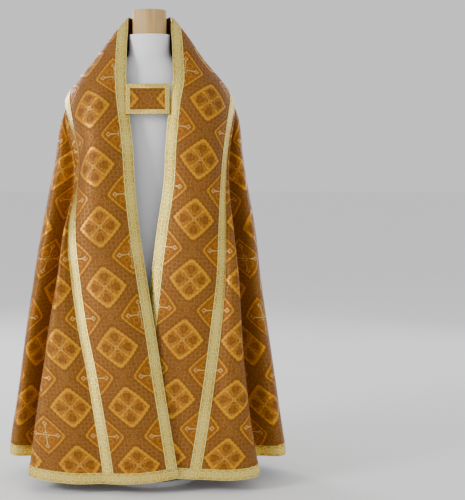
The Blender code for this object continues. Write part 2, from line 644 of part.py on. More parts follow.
def cross_outline():
    """The embroidered cross, anticlockwise, each arm out along one side and back along the other."""
    outline = []
    for quarter, length in ARMS:
        turn = quarter * math.pi / 2
        side = [(-across, length - back) for across, back in ARM_OUTLINE]
        stem = np.linspace(STEM_HALF, side[0][1], max(2, round(length / 0.03)))
        arm = [(-STEM_HALF, reach) for reach in stem[:-1]] + side
        arm += [(-across, reach) for across, reach in arm[-2:0:-1]]
        for across, reach in arm:
            along = reach * math.cos(turn) - across * math.sin(turn)
            outline.append((along, CROSSING + reach * math.sin(turn) + across * math.cos(turn)))
    return outline


def rosette_outline(along, height, petals=8):
    """A scalloped disc."""
    turns = [2 * math.pi * k / (2 * petals) for k in range(2 * petals)]
    sizes = [ROSETTE * (1.0 if k % 2 else 0.8) for k in range(2 * petals)]
    return [(along + r * math.cos(a), height + r * math.sin(a)) for a, r in zip(turns, sizes)]


hood_cutout("cross", cross_outline(), on_satin, on_satin + TRIM, THREAD)
for side, place in zip(("left", "right"), ROSETTES):
    hood_cutout(f"rosette_{side}", rosette_outline(*place), on_satin, on_satin + TRIM, THREAD)

# Five covered buttons just under the orphrey hold the hood by its loops.
number = 0
for half, stops in ((left, BUTTON_AT[::-1]), (right, (0.0,) + BUTTON_AT)):
    for at in stops:
        outer = half.sections[:, 2]
        ahead = between(outer, at + 0.05) - between(outer, max(at - 0.05, 0.0))
        outward = np.array([-ahead[1], ahead[0], 0.0]) * half.side
        outward /= np.linalg.norm(outward)
        number += 1
        point = between(outer, at) - np.array([0.0, 0.0, BUTTON_BELOW])
        covered_button(f"button_{number}", point, outward)

# The morse and the galloon round its edge.
first, last, low, high = MORSE
lean = np.array([0.0, MORSE_LEAN, 1.0])
rise = high - low


def on_morse(x, up):
    """A point of the morse's back face."""
    return np.array([x, MORSE_Y - rise * MORSE_LEAN, low]) + lean * up


facing = np.array([0.0, -1.0, MORSE_LEAN]) / math.hypot(1.0, MORSE_LEAN)
points = np.array([[on_morse(x, up) for x in (first, last)] for up in (rise, 0.0)])
wall("morse", points, np.broadcast_to(facing, points.shape), 0.0, MORSE_THICK, BROCADE)
mesh = bmesh.new()
rings = []
for height in (MORSE_THICK + SEAM, MORSE_THICK + SEAM + TRIM):
    for inset in (0.0, MORSE_FRAME):
        ups = (inset, inset, rise - inset, rise - inset)
        sides = (first + inset, last - inset, last - inset, first + inset)
        rings.append([mesh.verts.new(on_morse(x, up) + facing * height) for x, up in zip(sides, ups)])
for near, far in ((0, 1), (1, 3), (3, 2), (2, 0)):
    for a in range(4):
        b = (a + 1) % 4
        mesh.faces.new([rings[near][a], rings[near][b], rings[far][b], rings[far][a]])
bmesh.ops.recalc_face_normals(mesh, faces=mesh.faces)
finished("morse_galloon", mesh, GOLD)

# The form.
loft("torso", [ellipse(width, depth, middle, height) for height, width, depth, middle in TORSO], LINEN)
turned("neck_block", NECK_BLOCK, NECK_LOW, NECK_HIGH, 0.004, WOOD, 0.94)
turned("post", POST, FOOT_HIGH + SEAM, TORSO[0][0] - SEAM, 0.0, METAL)
turned("foot", FOOT, 0.0, FOOT_HIGH, 0.003, METAL)
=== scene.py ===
"""The looks of a cope on its dress form: brocade, galloon, satin, embroidery, fringe and the form itself,
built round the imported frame. Metres, +Z up, the wearer faces -Y."""

import json
import math
import random

import bmesh
import bpy
import numpy as np
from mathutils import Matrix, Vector

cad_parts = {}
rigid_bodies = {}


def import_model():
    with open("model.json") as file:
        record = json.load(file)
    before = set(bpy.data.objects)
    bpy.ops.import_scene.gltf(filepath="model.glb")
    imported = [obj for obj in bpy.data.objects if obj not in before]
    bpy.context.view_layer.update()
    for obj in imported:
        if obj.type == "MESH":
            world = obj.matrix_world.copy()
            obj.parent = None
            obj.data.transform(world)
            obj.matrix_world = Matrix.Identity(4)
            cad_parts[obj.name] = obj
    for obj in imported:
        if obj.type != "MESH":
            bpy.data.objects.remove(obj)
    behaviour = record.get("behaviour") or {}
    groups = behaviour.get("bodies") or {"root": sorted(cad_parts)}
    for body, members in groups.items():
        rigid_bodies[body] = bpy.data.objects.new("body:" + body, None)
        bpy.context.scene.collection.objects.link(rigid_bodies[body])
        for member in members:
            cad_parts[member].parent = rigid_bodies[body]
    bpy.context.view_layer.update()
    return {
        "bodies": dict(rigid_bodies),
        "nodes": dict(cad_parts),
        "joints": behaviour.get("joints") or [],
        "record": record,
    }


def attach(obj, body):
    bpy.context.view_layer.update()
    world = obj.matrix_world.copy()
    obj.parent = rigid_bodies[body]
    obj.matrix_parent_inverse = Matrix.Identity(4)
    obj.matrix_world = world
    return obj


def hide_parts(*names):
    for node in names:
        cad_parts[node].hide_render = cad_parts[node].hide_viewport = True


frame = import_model()

# ------------------------------------------------------------------------------------- sizes
CLOTH = 0.0020
TRIM = 0.0012
SEAM = 0.0003
LAY = 0.0005
GALLOON = 0.035
ORPHREY = 0.234
COLLAR_REACH = 0.04
COLLAR_LEAN = math.radians(15)

# Sections of the orphrey, from the centre back over the shoulder: its free edge, its middle line and
# its outer edge, each as (out, y, z), and how far the collar flares off the curve through the three.
SHOULDER = (
    # edge                     middle                    outer edge               flare
    ((0.000, 0.070, 1.452), (0.000, 0.122, 1.345), (0.000, 0.158, 1.244), 0.000),
    ((0.050, 0.055, 1.456), (0.070, 0.112, 1.348), (0.080, 0.152, 1.244), 0.004),
    ((0.066, 0.016, 1.455), (0.114, 0.082, 1.349), (0.132, 0.137, 1.242), 0.012),
    ((0.067, -0.014, 1.415), (0.148, 0.040, 1.345), (0.180, 0.112, 1.237), 0.022),
    ((0.070, -0.043, 1.366), (0.172, 0.002, 1.318), (0.220, 0.077, 1.229), 0.020),
    ((0.071, -0.072, 1.308), (0.190, -0.038, 1.282), (0.252, 0.035, 1.218), 0.012),
    ((0.071, -0.097, 1.250), (0.190, -0.085, 1.234), (0.264, -0.008, 1.190), 0.004),
)
LEFT_FRONT = (
    ((0.066, -0.114, 1.185), (0.188, -0.122, 1.170), (0.250, -0.045, 1.125)),
    ((0.052, -0.136, 1.062), (0.182, -0.152, 1.050), (0.219, -0.065, 1.010)),
    ((0.045, -0.150, 0.945), (0.172, -0.177, 0.935), (0.230, -0.100, 0.905)),
    ((0.032, -0.165, 0.812), (0.150, -0.200, 0.800), (0.250, -0.150, 0.785)),
    ((0.011, -0.181, 0.672), (0.130, -0.215, 0.660), (0.239, -0.163, 0.650)),
    ((-0.011, -0.191, 0.530), (0.108, -0.225, 0.520), (0.219, -0.180, 0.510)),
    ((-0.033, -0.203, 0.390), (0.083, -0.235, 0.385), (0.192, -0.197, 0.375)),
    ((-0.057, -0.211, 0.243), (0.060, -0.240, 0.240), (0.168, -0.210, 0.235)),
    ((-0.077, -0.219, 0.120), (0.040, -0.243, 0.115), (0.149, -0.218, 0.115)),
    ((-0.089, -0.224, 0.050), (0.028, -0.245, 0.038), (0.138, -0.222, 0.032)),
)
RIGHT_FRONT = (
    ((0.060, -0.114, 1.185), (0.181, -0.122, 1.165), (0.256, -0.040, 1.140)),
    ((0.050, -0.136, 1.062), (0.170, -0.153, 1.045), (0.242, -0.080, 1.035)),
    ((0.044, -0.149, 0.945), (0.155, -0.174, 0.930), (0.235, -0.110, 0.920)),
    ((0.024, -0.160, 0.812), (0.138, -0.190, 0.800), (0.234, -0.140, 0.790)),
    ((0.007, -0.165, 0.672), (0.122, -0.200, 0.660), (0.232, -0.160, 0.655)),
    ((-0.008, -0.168, 0.530), (0.108, -0.200, 0.520), (0.220, -0.178, 0.515)),
    ((-0.024, -0.172, 0.390), (0.092, -0.201, 0.385), (0.204, -0.193, 0.380)),
    ((-0.045, -0.177, 0.243), (0.072, -0.203, 0.240), (0.184, -0.203, 0.240)),
    ((-0.064, -0.181, 0.120), (0.055, -0.204, 0.118), (0.165, -0.208, 0.118)),
    ((-0.075, -0.183, 0.056), (0.045, -0.205, 0.046), (0.152, -0.211, 0.042)),
)
# Sections of the mantle, one for each section of a front: the front panel between the orphrey and its
# lip, the fold's lip, the valley behind it and the lobe that falls from the shoulder, each as (out, y),
# then the half width at the side and the depth at the centre back.
LEFT_FOLDS = (
    # front            lip               valley            lobe              side   back
    ((0.256, -0.038), (0.262, -0.030), (0.262, -0.015), (0.275, -0.012), 0.281, 0.170),
    ((0.225, -0.064), (0.232, -0.060), (0.238, -0.032), (0.283, -0.044), 0.300, 0.178),
    ((0.236, -0.095), (0.239, -0.082), (0.239, -0.034), (0.302, -0.060), 0.322, 0.186),
    ((0.258, -0.157), (0.261, -0.140), (0.249, -0.038), (0.322, -0.073), 0.343, 0.194),
    ((0.262, -0.172), (0.281, -0.158), (0.262, -0.042), (0.346, -0.083), 0.365, 0.202),
    ((0.265, -0.190), (0.307, -0.166), (0.282, -0.046), (0.370, -0.090), 0.387, 0.210),
    ((0.260, -0.206), (0.326, -0.174), (0.299, -0.051), (0.390, -0.095), 0.405, 0.218),
    ((0.254, -0.217), (0.344, -0.180), (0.316, -0.058), (0.408, -0.099), 0.420, 0.225),
    ((0.250, -0.224), (0.359, -0.186), (0.332, -0.066), (0.422, -0.102), 0.432, 0.231),
    ((0.248, -0.227), (0.368, -0.190), (0.342, -0.072), (0.428, -0.104), 0.437, 0.235),
)
RIGHT_FOLDS = (
    ((0.260, -0.034), (0.264, -0.027), (0.264, -0.014), (0.274, -0.011), 0.280, 0.170),
    ((0.247, -0.078), (0.250, -0.066), (0.248, -0.030), (0.284, -0.040), 0.295, 0.178),
    ((0.242, -0.110), (0.248, -0.092), (0.246, -0.033), (0.300, -0.056), 0.314, 0.186),
    ((0.246, -0.142), (0.259, -0.126), (0.254, -0.037), (0.318, -0.066), 0.337, 0.194),
    ((0.252, -0.166), (0.271, -0.148), (0.262, -0.041), (0.334, -0.076), 0.354, 0.202),
    ((0.254, -0.184), (0.281, -0.158), (0.272, -0.046), (0.352, -0.084), 0.374, 0.210),
    ((0.254, -0.196), (0.290, -0.166), (0.282, -0.052), (0.372, -0.092), 0.391, 0.218),
    ((0.256, -0.206), (0.307, -0.172), (0.298, -0.060), (0.392, -0.098), 0.410, 0.225),
    ((0.258, -0.212), (0.326, -0.178), (0.316, -0.066), (0.410, -0.102), 0.424, 0.231),
    ((0.259, -0.215), (0.338, -0.182), (0.328, -0.072), (0.420, -0.104), 0.432, 0.235),
)
# Where the mantle's columns leave the outer edge, counted in sections from the centre back.
COLUMN_AT = (6.0, 5.8, 5.6, 5.4, 5.1, 4.7, 3.9, 2.7, 1.35, 0.0)
VALLEY_COLUMN = 3
COLLAR_END = 7.5
COLLAR_DEPTH = 0.076
BAND_LIFT = 0.0009
# The hem's height under each of those columns, less the first, which is the orphrey's own.
LEFT_HEM = (0.034, 0.048, 0.074, 0.090, 0.098, 0.088, 0.066, 0.052, 0.050)
RIGHT_HEM = (0.040, 0.050, 0.074, 0.088, 0.098, 0.088, 0.066, 0.052, 0.050)
BACK_TURNS = (math.radians(6), math.radians(28), math.radians(50), math.radians(70), math.radians(90))
SHOULDER_SECTIONS = len(SHOULDER) - 1
SECTIONS = SHOULDER_SECTIONS + len(LEFT_FRONT)
HEM_BAND_AT = SECTIONS - 0.42
HEM_BAND = 0.033
# How much the ring above the hem rises and falls with it.
HEM_FOLLOW = 0.6

# The brocade's repeat, the height of a flower's middle on each front, and the height of a cross's
# middle on the centre back.
REPEAT = 0.183
FLOWER_HEIGHT = {-1: 0.811, 1: 0.833}
CROSS_HEIGHT = 0.338


# ---------------------------------------------------------------------------------- surfaces
def spline(points, at):
    """Points at section numbers, on a Catmull-Rom curve through evenly numbered points."""
    points = np.asarray(points, float)
    before = 2 * points[:1] - points[1:2]
    after = 2 * points[-1:] - points[-2:-1]
    padded = np.concatenate([before, points, after])
    at = np.atleast_1d(np.asarray(at, float))
    first = np.clip(at.astype(int), 0, len(points) - 2)
    t = (at - first).reshape((-1,) + (1,) * (points.ndim - 1))
    a, b, c, d = (padded[first + k] for k in range(4))
    return 0.5 * (
        2 * b + (c - a) * t + (2 * a - 5 * b + 4 * c - d) * t * t + (3 * b - a - 3 * c + d) * t**3
    )


def grid_normals(grid):
    """Unit normals of a grid of points, along rows x columns."""
    normal = np.cross(np.gradient(grid, axis=0), np.gradient(grid, axis=1))
    return normal / np.linalg.norm(normal, axis=2, keepdims=True)


def unit(vectors):
    """The vectors at length one."""
    return vectors / np.linalg.norm(vectors, axis=-1, keepdims=True)


def lengths(points, axis=0):
    """The running length along a grid's lines."""
    steps = np.linalg.norm(np.diff(points, axis=axis), axis=-1)
    start = np.zeros_like(np.take(steps, [0], axis=axis))
    return np.concatenate([start, np.cumsum(steps, axis=axis)], axis=axis)


# Slow undulations of hanging cloth: their wave numbers along x, y and z, phase and height.
RIPPLES = (
    (14.0, 9.0, 8.0, 0.6, 0.0010),
    (-11.0, 6.0, 13.0, 2.1, 0.0009),
    (23.0, -7.0, 5.0, 4.0, 0.0006),
    (7.0, 15.0, 21.0, 1.2, 0.0005),
    (31.0, 12.0, -9.0, 5.3, 0.0003),
)
# Soft troughs (negative) and ridges pressed in by the folds: middle, half reach, half width across
# the run, the run's direction, and height.
CREASES = (
    ((-0.10, -0.22, 0.30), 0.26, 0.030, (0.10, 0.0, -1.0), -0.0035),
    ((-0.19, -0.19, 0.62), 0.20, 0.022, (0.22, 0.0, -1.0), -0.0030),
    ((-0.30, -0.19, 0.22), 0.22, 0.026, (-0.12, 0.0, -1.0), -0.0040),
    ((0.09, -0.20, 0.20), 0.20, 0.028, (0.05, 0.0, -1.0), -0.0070),
    ((0.21, -0.20, 0.30), 0.24, 0.024, (0.12, 0.0, -1.0), -0.0040),
    ((0.27, -0.18, 0.16), 0.20, 0.022, (0.16, 0.0, -1.0), 0.0060),
    ((-0.15, -0.12, 1.12), 0.10, 0.022, (-0.55, 0.0, -1.0), -0.0030),
    ((0.15, -0.12, 1.10), 0.10, 0.020, (0.50, 0.0, -1.0), -0.0030),
    ((0.16, -0.16, 0.86), 0.14, 0.024, (0.14, 0.0, -1.0), -0.0030),
    ((-0.20, 0.19, 0.33), 0.30, 0.040, (-0.14, 0.0, -1.0), -0.0080),
    ((-0.31, 0.15, 0.25), 0.28, 0.034, (-0.20, 0.1, -1.0), 0.0080),
    ((0.03, 0.22, 0.22), 0.24, 0.046, (0.02, 0.0, -1.0), -0.0060),
    ((0.19, 0.19, 0.36), 0.32, 0.038, (0.15, 0.0, -1.0), -0.0085),
    ((0.30, 0.15, 0.28), 0.28, 0.034, (0.20, 0.1, -1.0), 0.0075),
    ((-0.40, 0.03, 0.40), 0.34, 0.034, (-0.13, 0.0, -1.0), -0.0070),
    ((0.39, 0.04, 0.38), 0.34, 0.034, (0.13, 0.0, -1.0), -0.0070),
)


def drape(points):
    """How far the cloth stands out or in at each point."""
    out = np.zeros(points.shape[:-1])
    for kx, ky, kz, phase, height in RIPPLES:
        out += height * np.sin(points @ np.array([kx, ky, kz]) + phase)
    for middle, reach, width, run, height in CREASES:
        run = np.array(run) / np.linalg.norm(run)
        away = points - np.array(middle)
        along = away @ run
        across = np.linalg.norm(away - along[..., None] * run, axis=-1)
        out += height * np.exp(-((along / reach) ** 2) - (across / width) ** 2)
    return out


def finest(first, last, step):
    """Evenly spaced numbers from first to last, at most a step apart."""
    return np.linspace(first, last, max(2, math.ceil(abs(last - first) / step) + 1))


class Half:
    """One half of the cope, on side -1 or 1 of x. Section numbers run from the centre back to the hem."""

    def __init__(self, side, front, folds, hem):
        self.side = side
        self.out = np.array([side, 1.0, 1.0])
        self.sections = np.array([row[:3] for row in SHOULDER] + list(front)) * self.out
        self.flares = np.array([row[3] for row in SHOULDER] + [0.0] * len(front))
        self.rings = self.ring_controls(folds, hem)
        fine = finest(0.0, SECTIONS, 0.02)
        self.fine = fine
        self.run = lengths(spline(self.sections[:, 1], fine))
        heights = spline(self.sections[:, 1], fine)[:, 2]
        falling = fine > SHOULDER_SECTIONS
        self.flower = np.interp(-FLOWER_HEIGHT[side], -heights[falling], self.run[falling])

    def ring_controls(self, folds, hem):
        """The mantle's control points, ring by ring below the shoulder stretch."""
        outer = self.sections[:, 2]
        rings = []
        for number, (*pairs, width, depth) in enumerate(folds):
            start = outer[SHOULDER_SECTIONS + 1 + number]
            turns = [(width * math.cos(a), depth * math.sin(a)) for a in BACK_TURNS]
            level = [start[2]] * (len(COLUMN_AT) - 1)
            if number == len(folds) - 2:
                level = [start[2] + HEM_FOLLOW * (height - hem[0]) for height in hem]
            if number == len(folds) - 1:
                level = hem
            ring = [np.array([x, y, z]) * self.out for (x, y), z in zip(pairs + turns, level)]
            rings.append([start] + ring)
        return np.array(rings)

    def down(self, at):
        """How far along the orphrey's middle line sections lie, from a flower's middle."""
        return np.interp(at, self.fine, self.run) - self.flower

    def orphrey(self, at, across):
        """Points at section numbers x distances from the free edge."""
        at, across = np.asarray(at, float), np.asarray(across, float)
        u = across / ORPHREY
        weights = np.stack([2 * (u - 0.5) * (u - 1), 4 * u * (1 - u), 2 * u * (u - 0.5)])
        lines = np.stack([spline(self.sections[:, k], at) for k in range(3)], axis=1)
        grid = np.einsum("kc,rkx->rcx", weights, lines)
        bump = across / COLLAR_REACH * np.exp(1 - across / COLLAR_REACH) * (1 - u)
        lift = np.array([self.side * math.sin(COLLAR_LEAN), 0.0, math.cos(COLLAR_LEAN)])
        return grid + lift * spline(self.flares, at)[:, None, None] * bump[None, :, None]

    def mantle(self, down, over):
        """Points at ring numbers from the shoulder stretch, 0, to the hem x column numbers."""
        outer = self.sections[:, 2]
        start = np.interp(over, range(len(COLUMN_AT)), COLUMN_AT)
        shaped = spline(self.rings.transpose(1, 0, 2), over).transpose(1, 0, 2)
        grid = spline(np.concatenate([spline(outer, start)[None], shaped]), down)
        sewn = spline(outer, SHOULDER_SECTIONS + np.asarray(down))
        fade = np.clip(1 - np.asarray(over), 0.0, 1.0) ** 2
        return grid + (sewn - grid[:, 0])[:, None] * fade[None, :, None]


def side_normals(half, grid):
    """Outward normals of one half's grid."""
    return grid_normals(grid) * half.side


left = Half(-1, LEFT_FRONT, LEFT_FOLDS, LEFT_HEM)
right = Half(1, RIGHT_FRONT, RIGHT_FOLDS, RIGHT_HEM)
HALVES = (("left", left), ("right", right))

OVER = np.concatenate([finest(0, 2.7, 0.12), finest(2.7, 6.0, 0.06)[1:]])
DOWN = np.concatenate([finest(6.0, HEM_BAND_AT, 0.05)[1:], finest(HEM_BAND_AT, SECTIONS, 0.07)[1:]])
ROWS = np.concatenate([OVER, DOWN])
FRONT_ROWS = np.concatenate([[SHOULDER_SECTIONS], DOWN])
RING_ROWS = FRONT_ROWS - SHOULDER_SECTIONS
COLUMNS = np.concatenate([finest(0, 5, 0.06), finest(5, 9, 0.08)[1:]])
ACROSS = np.concatenate([finest(0, GALLOON, 0.007), finest(GALLOON, ORPHREY - GALLOON, 0.009)[1:]])
ACROSS = np.concatenate([ACROSS, finest(ORPHREY - GALLOON, ORPHREY, 0.007)[1:]])


class Panel:
    """A grid of points with outward normals and the weave's coordinates, with others behind the valley."""

    def __init__(self, points, normals, weave, behind=None):
        self.points, self.normals, self.weave, self.behind = points, normals, weave, behind


def level_hem(grid, rows):
    """Spaces the last rows so that the hem band is as high all round as the galloon is wide."""
    first = int(np.argmin(np.abs(rows - (SECTIONS - 1))))
    band = int(np.argmin(np.abs(rows - HEM_BAND_AT)))
    for column in range(grid.shape[1]):
        line = grid[first:, column]
        run = lengths(line)
        above = run[-1] - run
        over_band = np.linspace(above[0], HEM_BAND, band - first + 1)
        wanted = np.concatenate([over_band, np.linspace(HEM_BAND, 0.0, len(rows) - band)[1:]])
        grid[first:, column] = np.stack([np.interp(-wanted, -above, line[:, k]) for k in range(3)], axis=1)
    return grid


def orphrey_panel(half):
    """One half of the orphrey."""
    grid = level_hem(half.orphrey(ROWS, ACROSS), ROWS)
    normals = side_normals(half, grid)
    normals[0, :, 0] = 0.0
    normals = unit(normals)
    run = lengths(grid, axis=1)
    from_outer = ORPHREY / 2 - (run[:, -1:] - run)
    weave = np.stack(np.broadcast_arrays(from_outer, half.down(ROWS)[:, None]), axis=2)
    return Panel(grid, normals, weave)


def mantle_panel(half):
    """One half of the mantle. The weave follows the orphrey in front of the valley and the back behind."""
    grid = level_hem(half.mantle(RING_ROWS, COLUMNS), FRONT_ROWS)
    normals = side_normals(half, grid)
    normals[:, -1, 0] = 0.0
    normals = unit(normals)
    ring = lengths(grid, axis=1)
    down = np.broadcast_to(half.down(FRONT_ROWS)[:, None], ring.shape)
    front = np.stack([ORPHREY / 2 + ring, down], axis=2)
    back_u = (ring[:, -1:] - ring) * half.side + REPEAT / 2
    back_v = CROSS_HEIGHT - grid[..., 2] + REPEAT / 2
    return Panel(grid, normals, front, np.stack([back_u, back_v], axis=2))


def sewn(orphrey, mantle):
    """Gives both panels the same normals where they meet, then drapes both."""
    over = len(OVER)
    picks = np.interp(COLUMNS, range(len(COLUMN_AT)), COLUMN_AT)
    column_on = np.stack([np.interp(picks, ROWS, orphrey.normals[:, -1, k]) for k in range(3)], axis=1)
    top = unit(column_on + mantle.normals[0])
    front = unit(orphrey.normals[over - 1 :, -1] + mantle.normals[:, 0])
    row_on = np.stack([np.interp(OVER, picks[::-1], top[::-1, k]) for k in range(3)], axis=1)
    mantle.normals[0] = top
    mantle.normals[:, 0] = front
    orphrey.normals[:over, -1] = unit(row_on)
    orphrey.normals[over - 1 :, -1] = front
    for panel in (orphrey, mantle):
        panel.points = panel.points + panel.normals * drape(panel.points)[..., None]


panels = {}
for name, half in HALVES:
    panels[name] = (orphrey_panel(half), mantle_panel(half))
    sewn(*panels[name])


# ----------------------------------------------------------------------------------- shading
def tone(red, green, blue):
    """A colour from its display values, 0 to 255."""
    parts = [c / 255 for c in (red, green, blue)]
    return tuple(c / 12.92 if c <= 0.04045 else ((c + 0.055) / 1.055) ** 2.4 for c in parts) + (1.0,)


class Field:
    """A number that varies over a surface, made of a material's nodes."""

    def __init__(self, shader, socket):
        self.shader, self.socket = shader, socket

    def __add__(self, other):
        return self.shader.calc("ADD", self, other)

    def __sub__(self, other):
        return self.shader.calc("SUBTRACT", self, other)

    def __rsub__(self, other):
        return self.shader.calc("SUBTRACT", other, self)

    def __mul__(self, other):
        return self.shader.calc("MULTIPLY", self, other)

    def __truediv__(self, other):
        return self.shader.calc("DIVIDE", self, other)

    __radd__ = __add__
    __rmul__ = __mul__


class Shader:
    """A Principled material and the arithmetic that feeds it."""

    def __init__(self, name, **steady):
        self.material = bpy.data.materials.new(name)
        self.material.use_nodes = True
        self.nodes = self.material.node_tree.nodes
        self.links = self.material.node_tree.links
        self.surface = self.nodes["Principled BSDF"]
        for socket, value in steady.items():
            self.surface.inputs[socket.replace("_", " ").title().replace("Ior", "IOR")].default_value = value

    def feed(self, socket, value):
        """Sets or links a socket."""
        if isinstance(value, Field):
            self.links.new(value.socket, socket)
        elif hasattr(value, "node"):
            self.links.new(value, socket)
        else:
            socket.default_value = value

    def calc(self, operation, *values, clamp=False):
        node = self.nodes.new("ShaderNodeMath")
        node.operation, node.use_clamp = operation, clamp
        for socket, value in zip(node.inputs, values):
            self.feed(socket, value)
        return Field(self, node.outputs[0])

    def size(self, a):
        return self.calc("ABSOLUTE", a)

    def low(self, *values):
        out = values[0]
        for value in values[1:]:
            out = self.calc("MINIMUM", out, value)
        return out

    def high(self, *values):
        out = values[0]
        for value in values[1:]:
            out = self.calc("MAXIMUM", out, value)
        return out

    def far(self, a, b):
        """The length of (a, b)."""
        return self.calc("SQRT", a * a + b * b)

    def wave(self, a, length):
        return self.calc("SINE", a * (2 * math.pi / length))

    def within(self, distance, soft=0.0008):
        """1 where the distance is below zero, 0 above it."""
        return self.calc("MULTIPLY_ADD", distance, -1 / soft, 0.5, clamp=True)

    def cut(self):
        """The piece's own coordinates on its cut, in metres."""
        node = self.nodes.new("ShaderNodeUVMap")
        node.uv_map = "Cut"
        split = self.nodes.new("ShaderNodeSeparateXYZ")
        self.links.new(node.outputs[0], split.inputs[0])
        return Field(self, split.outputs[0]), Field(self, split.outputs[1])

    def solid(self):
        """The object's coordinates."""
        return self.nodes.new("ShaderNodeTexCoord").outputs["Object"]

    def place_of(self, axis):
        """One of the object's coordinates."""
        split = self.nodes.new("ShaderNodeSeparateXYZ")
        self.links.new(self.solid(), split.inputs[0])
        return Field(self, split.outputs[axis])

    def speckle(self, where, scale, detail=2.0, stretch=(1.0, 1.0, 1.0)):
        """Noise, from about 0.2 to 0.8. where is a vector, or a pair of fields."""
        if isinstance(where, tuple):
            join = self.nodes.new("ShaderNodeCombineXYZ")
            for socket, value in zip(join.inputs, where):
                self.feed(socket, value)
            where = join.outputs[0]
        scaled = self.nodes.new("ShaderNodeVectorMath")
        scaled.operation = "MULTIPLY"
        self.links.new(where, scaled.inputs[0])
        scaled.inputs[1].default_value = stretch
        noise = self.nodes.new("ShaderNodeTexNoise")
        noise.inputs["Scale"].default_value = scale
        noise.inputs["Detail"].default_value = detail
        self.links.new(scaled.outputs[0], noise.inputs["Vector"])
        return Field(self, noise.outputs[0])

    def mix(self, first, second, share):
        """One colour or another."""
        node = self.nodes.new("ShaderNodeMix")
        node.data_type = "RGBA"
        self.feed(node.inputs[0], share)
        self.feed(node.inputs[6], first)
        self.feed(node.inputs[7], second)
        return node.outputs[2]

    def finish(self, colour, roughness=None, height=None, depth=0.0006, strength=0.5, metallic=None):
        self.feed(self.surface.inputs["Base Color"], colour)
        if roughness is not None:
            self.feed(self.surface.inputs["Roughness"], roughness)
        if metallic is not None:
            self.feed(self.surface.inputs["Metallic"], metallic)
        if height is not None:
            bump = self.nodes.new("ShaderNodeBump")
            bump.inputs["Distance"].default_value = depth
            bump.inputs["Strength"].default_value = strength
            self.feed(bump.inputs["Height"], height)
            self.links.new(bump.outputs[0], self.surface.inputs["Normal"])
        return self.material


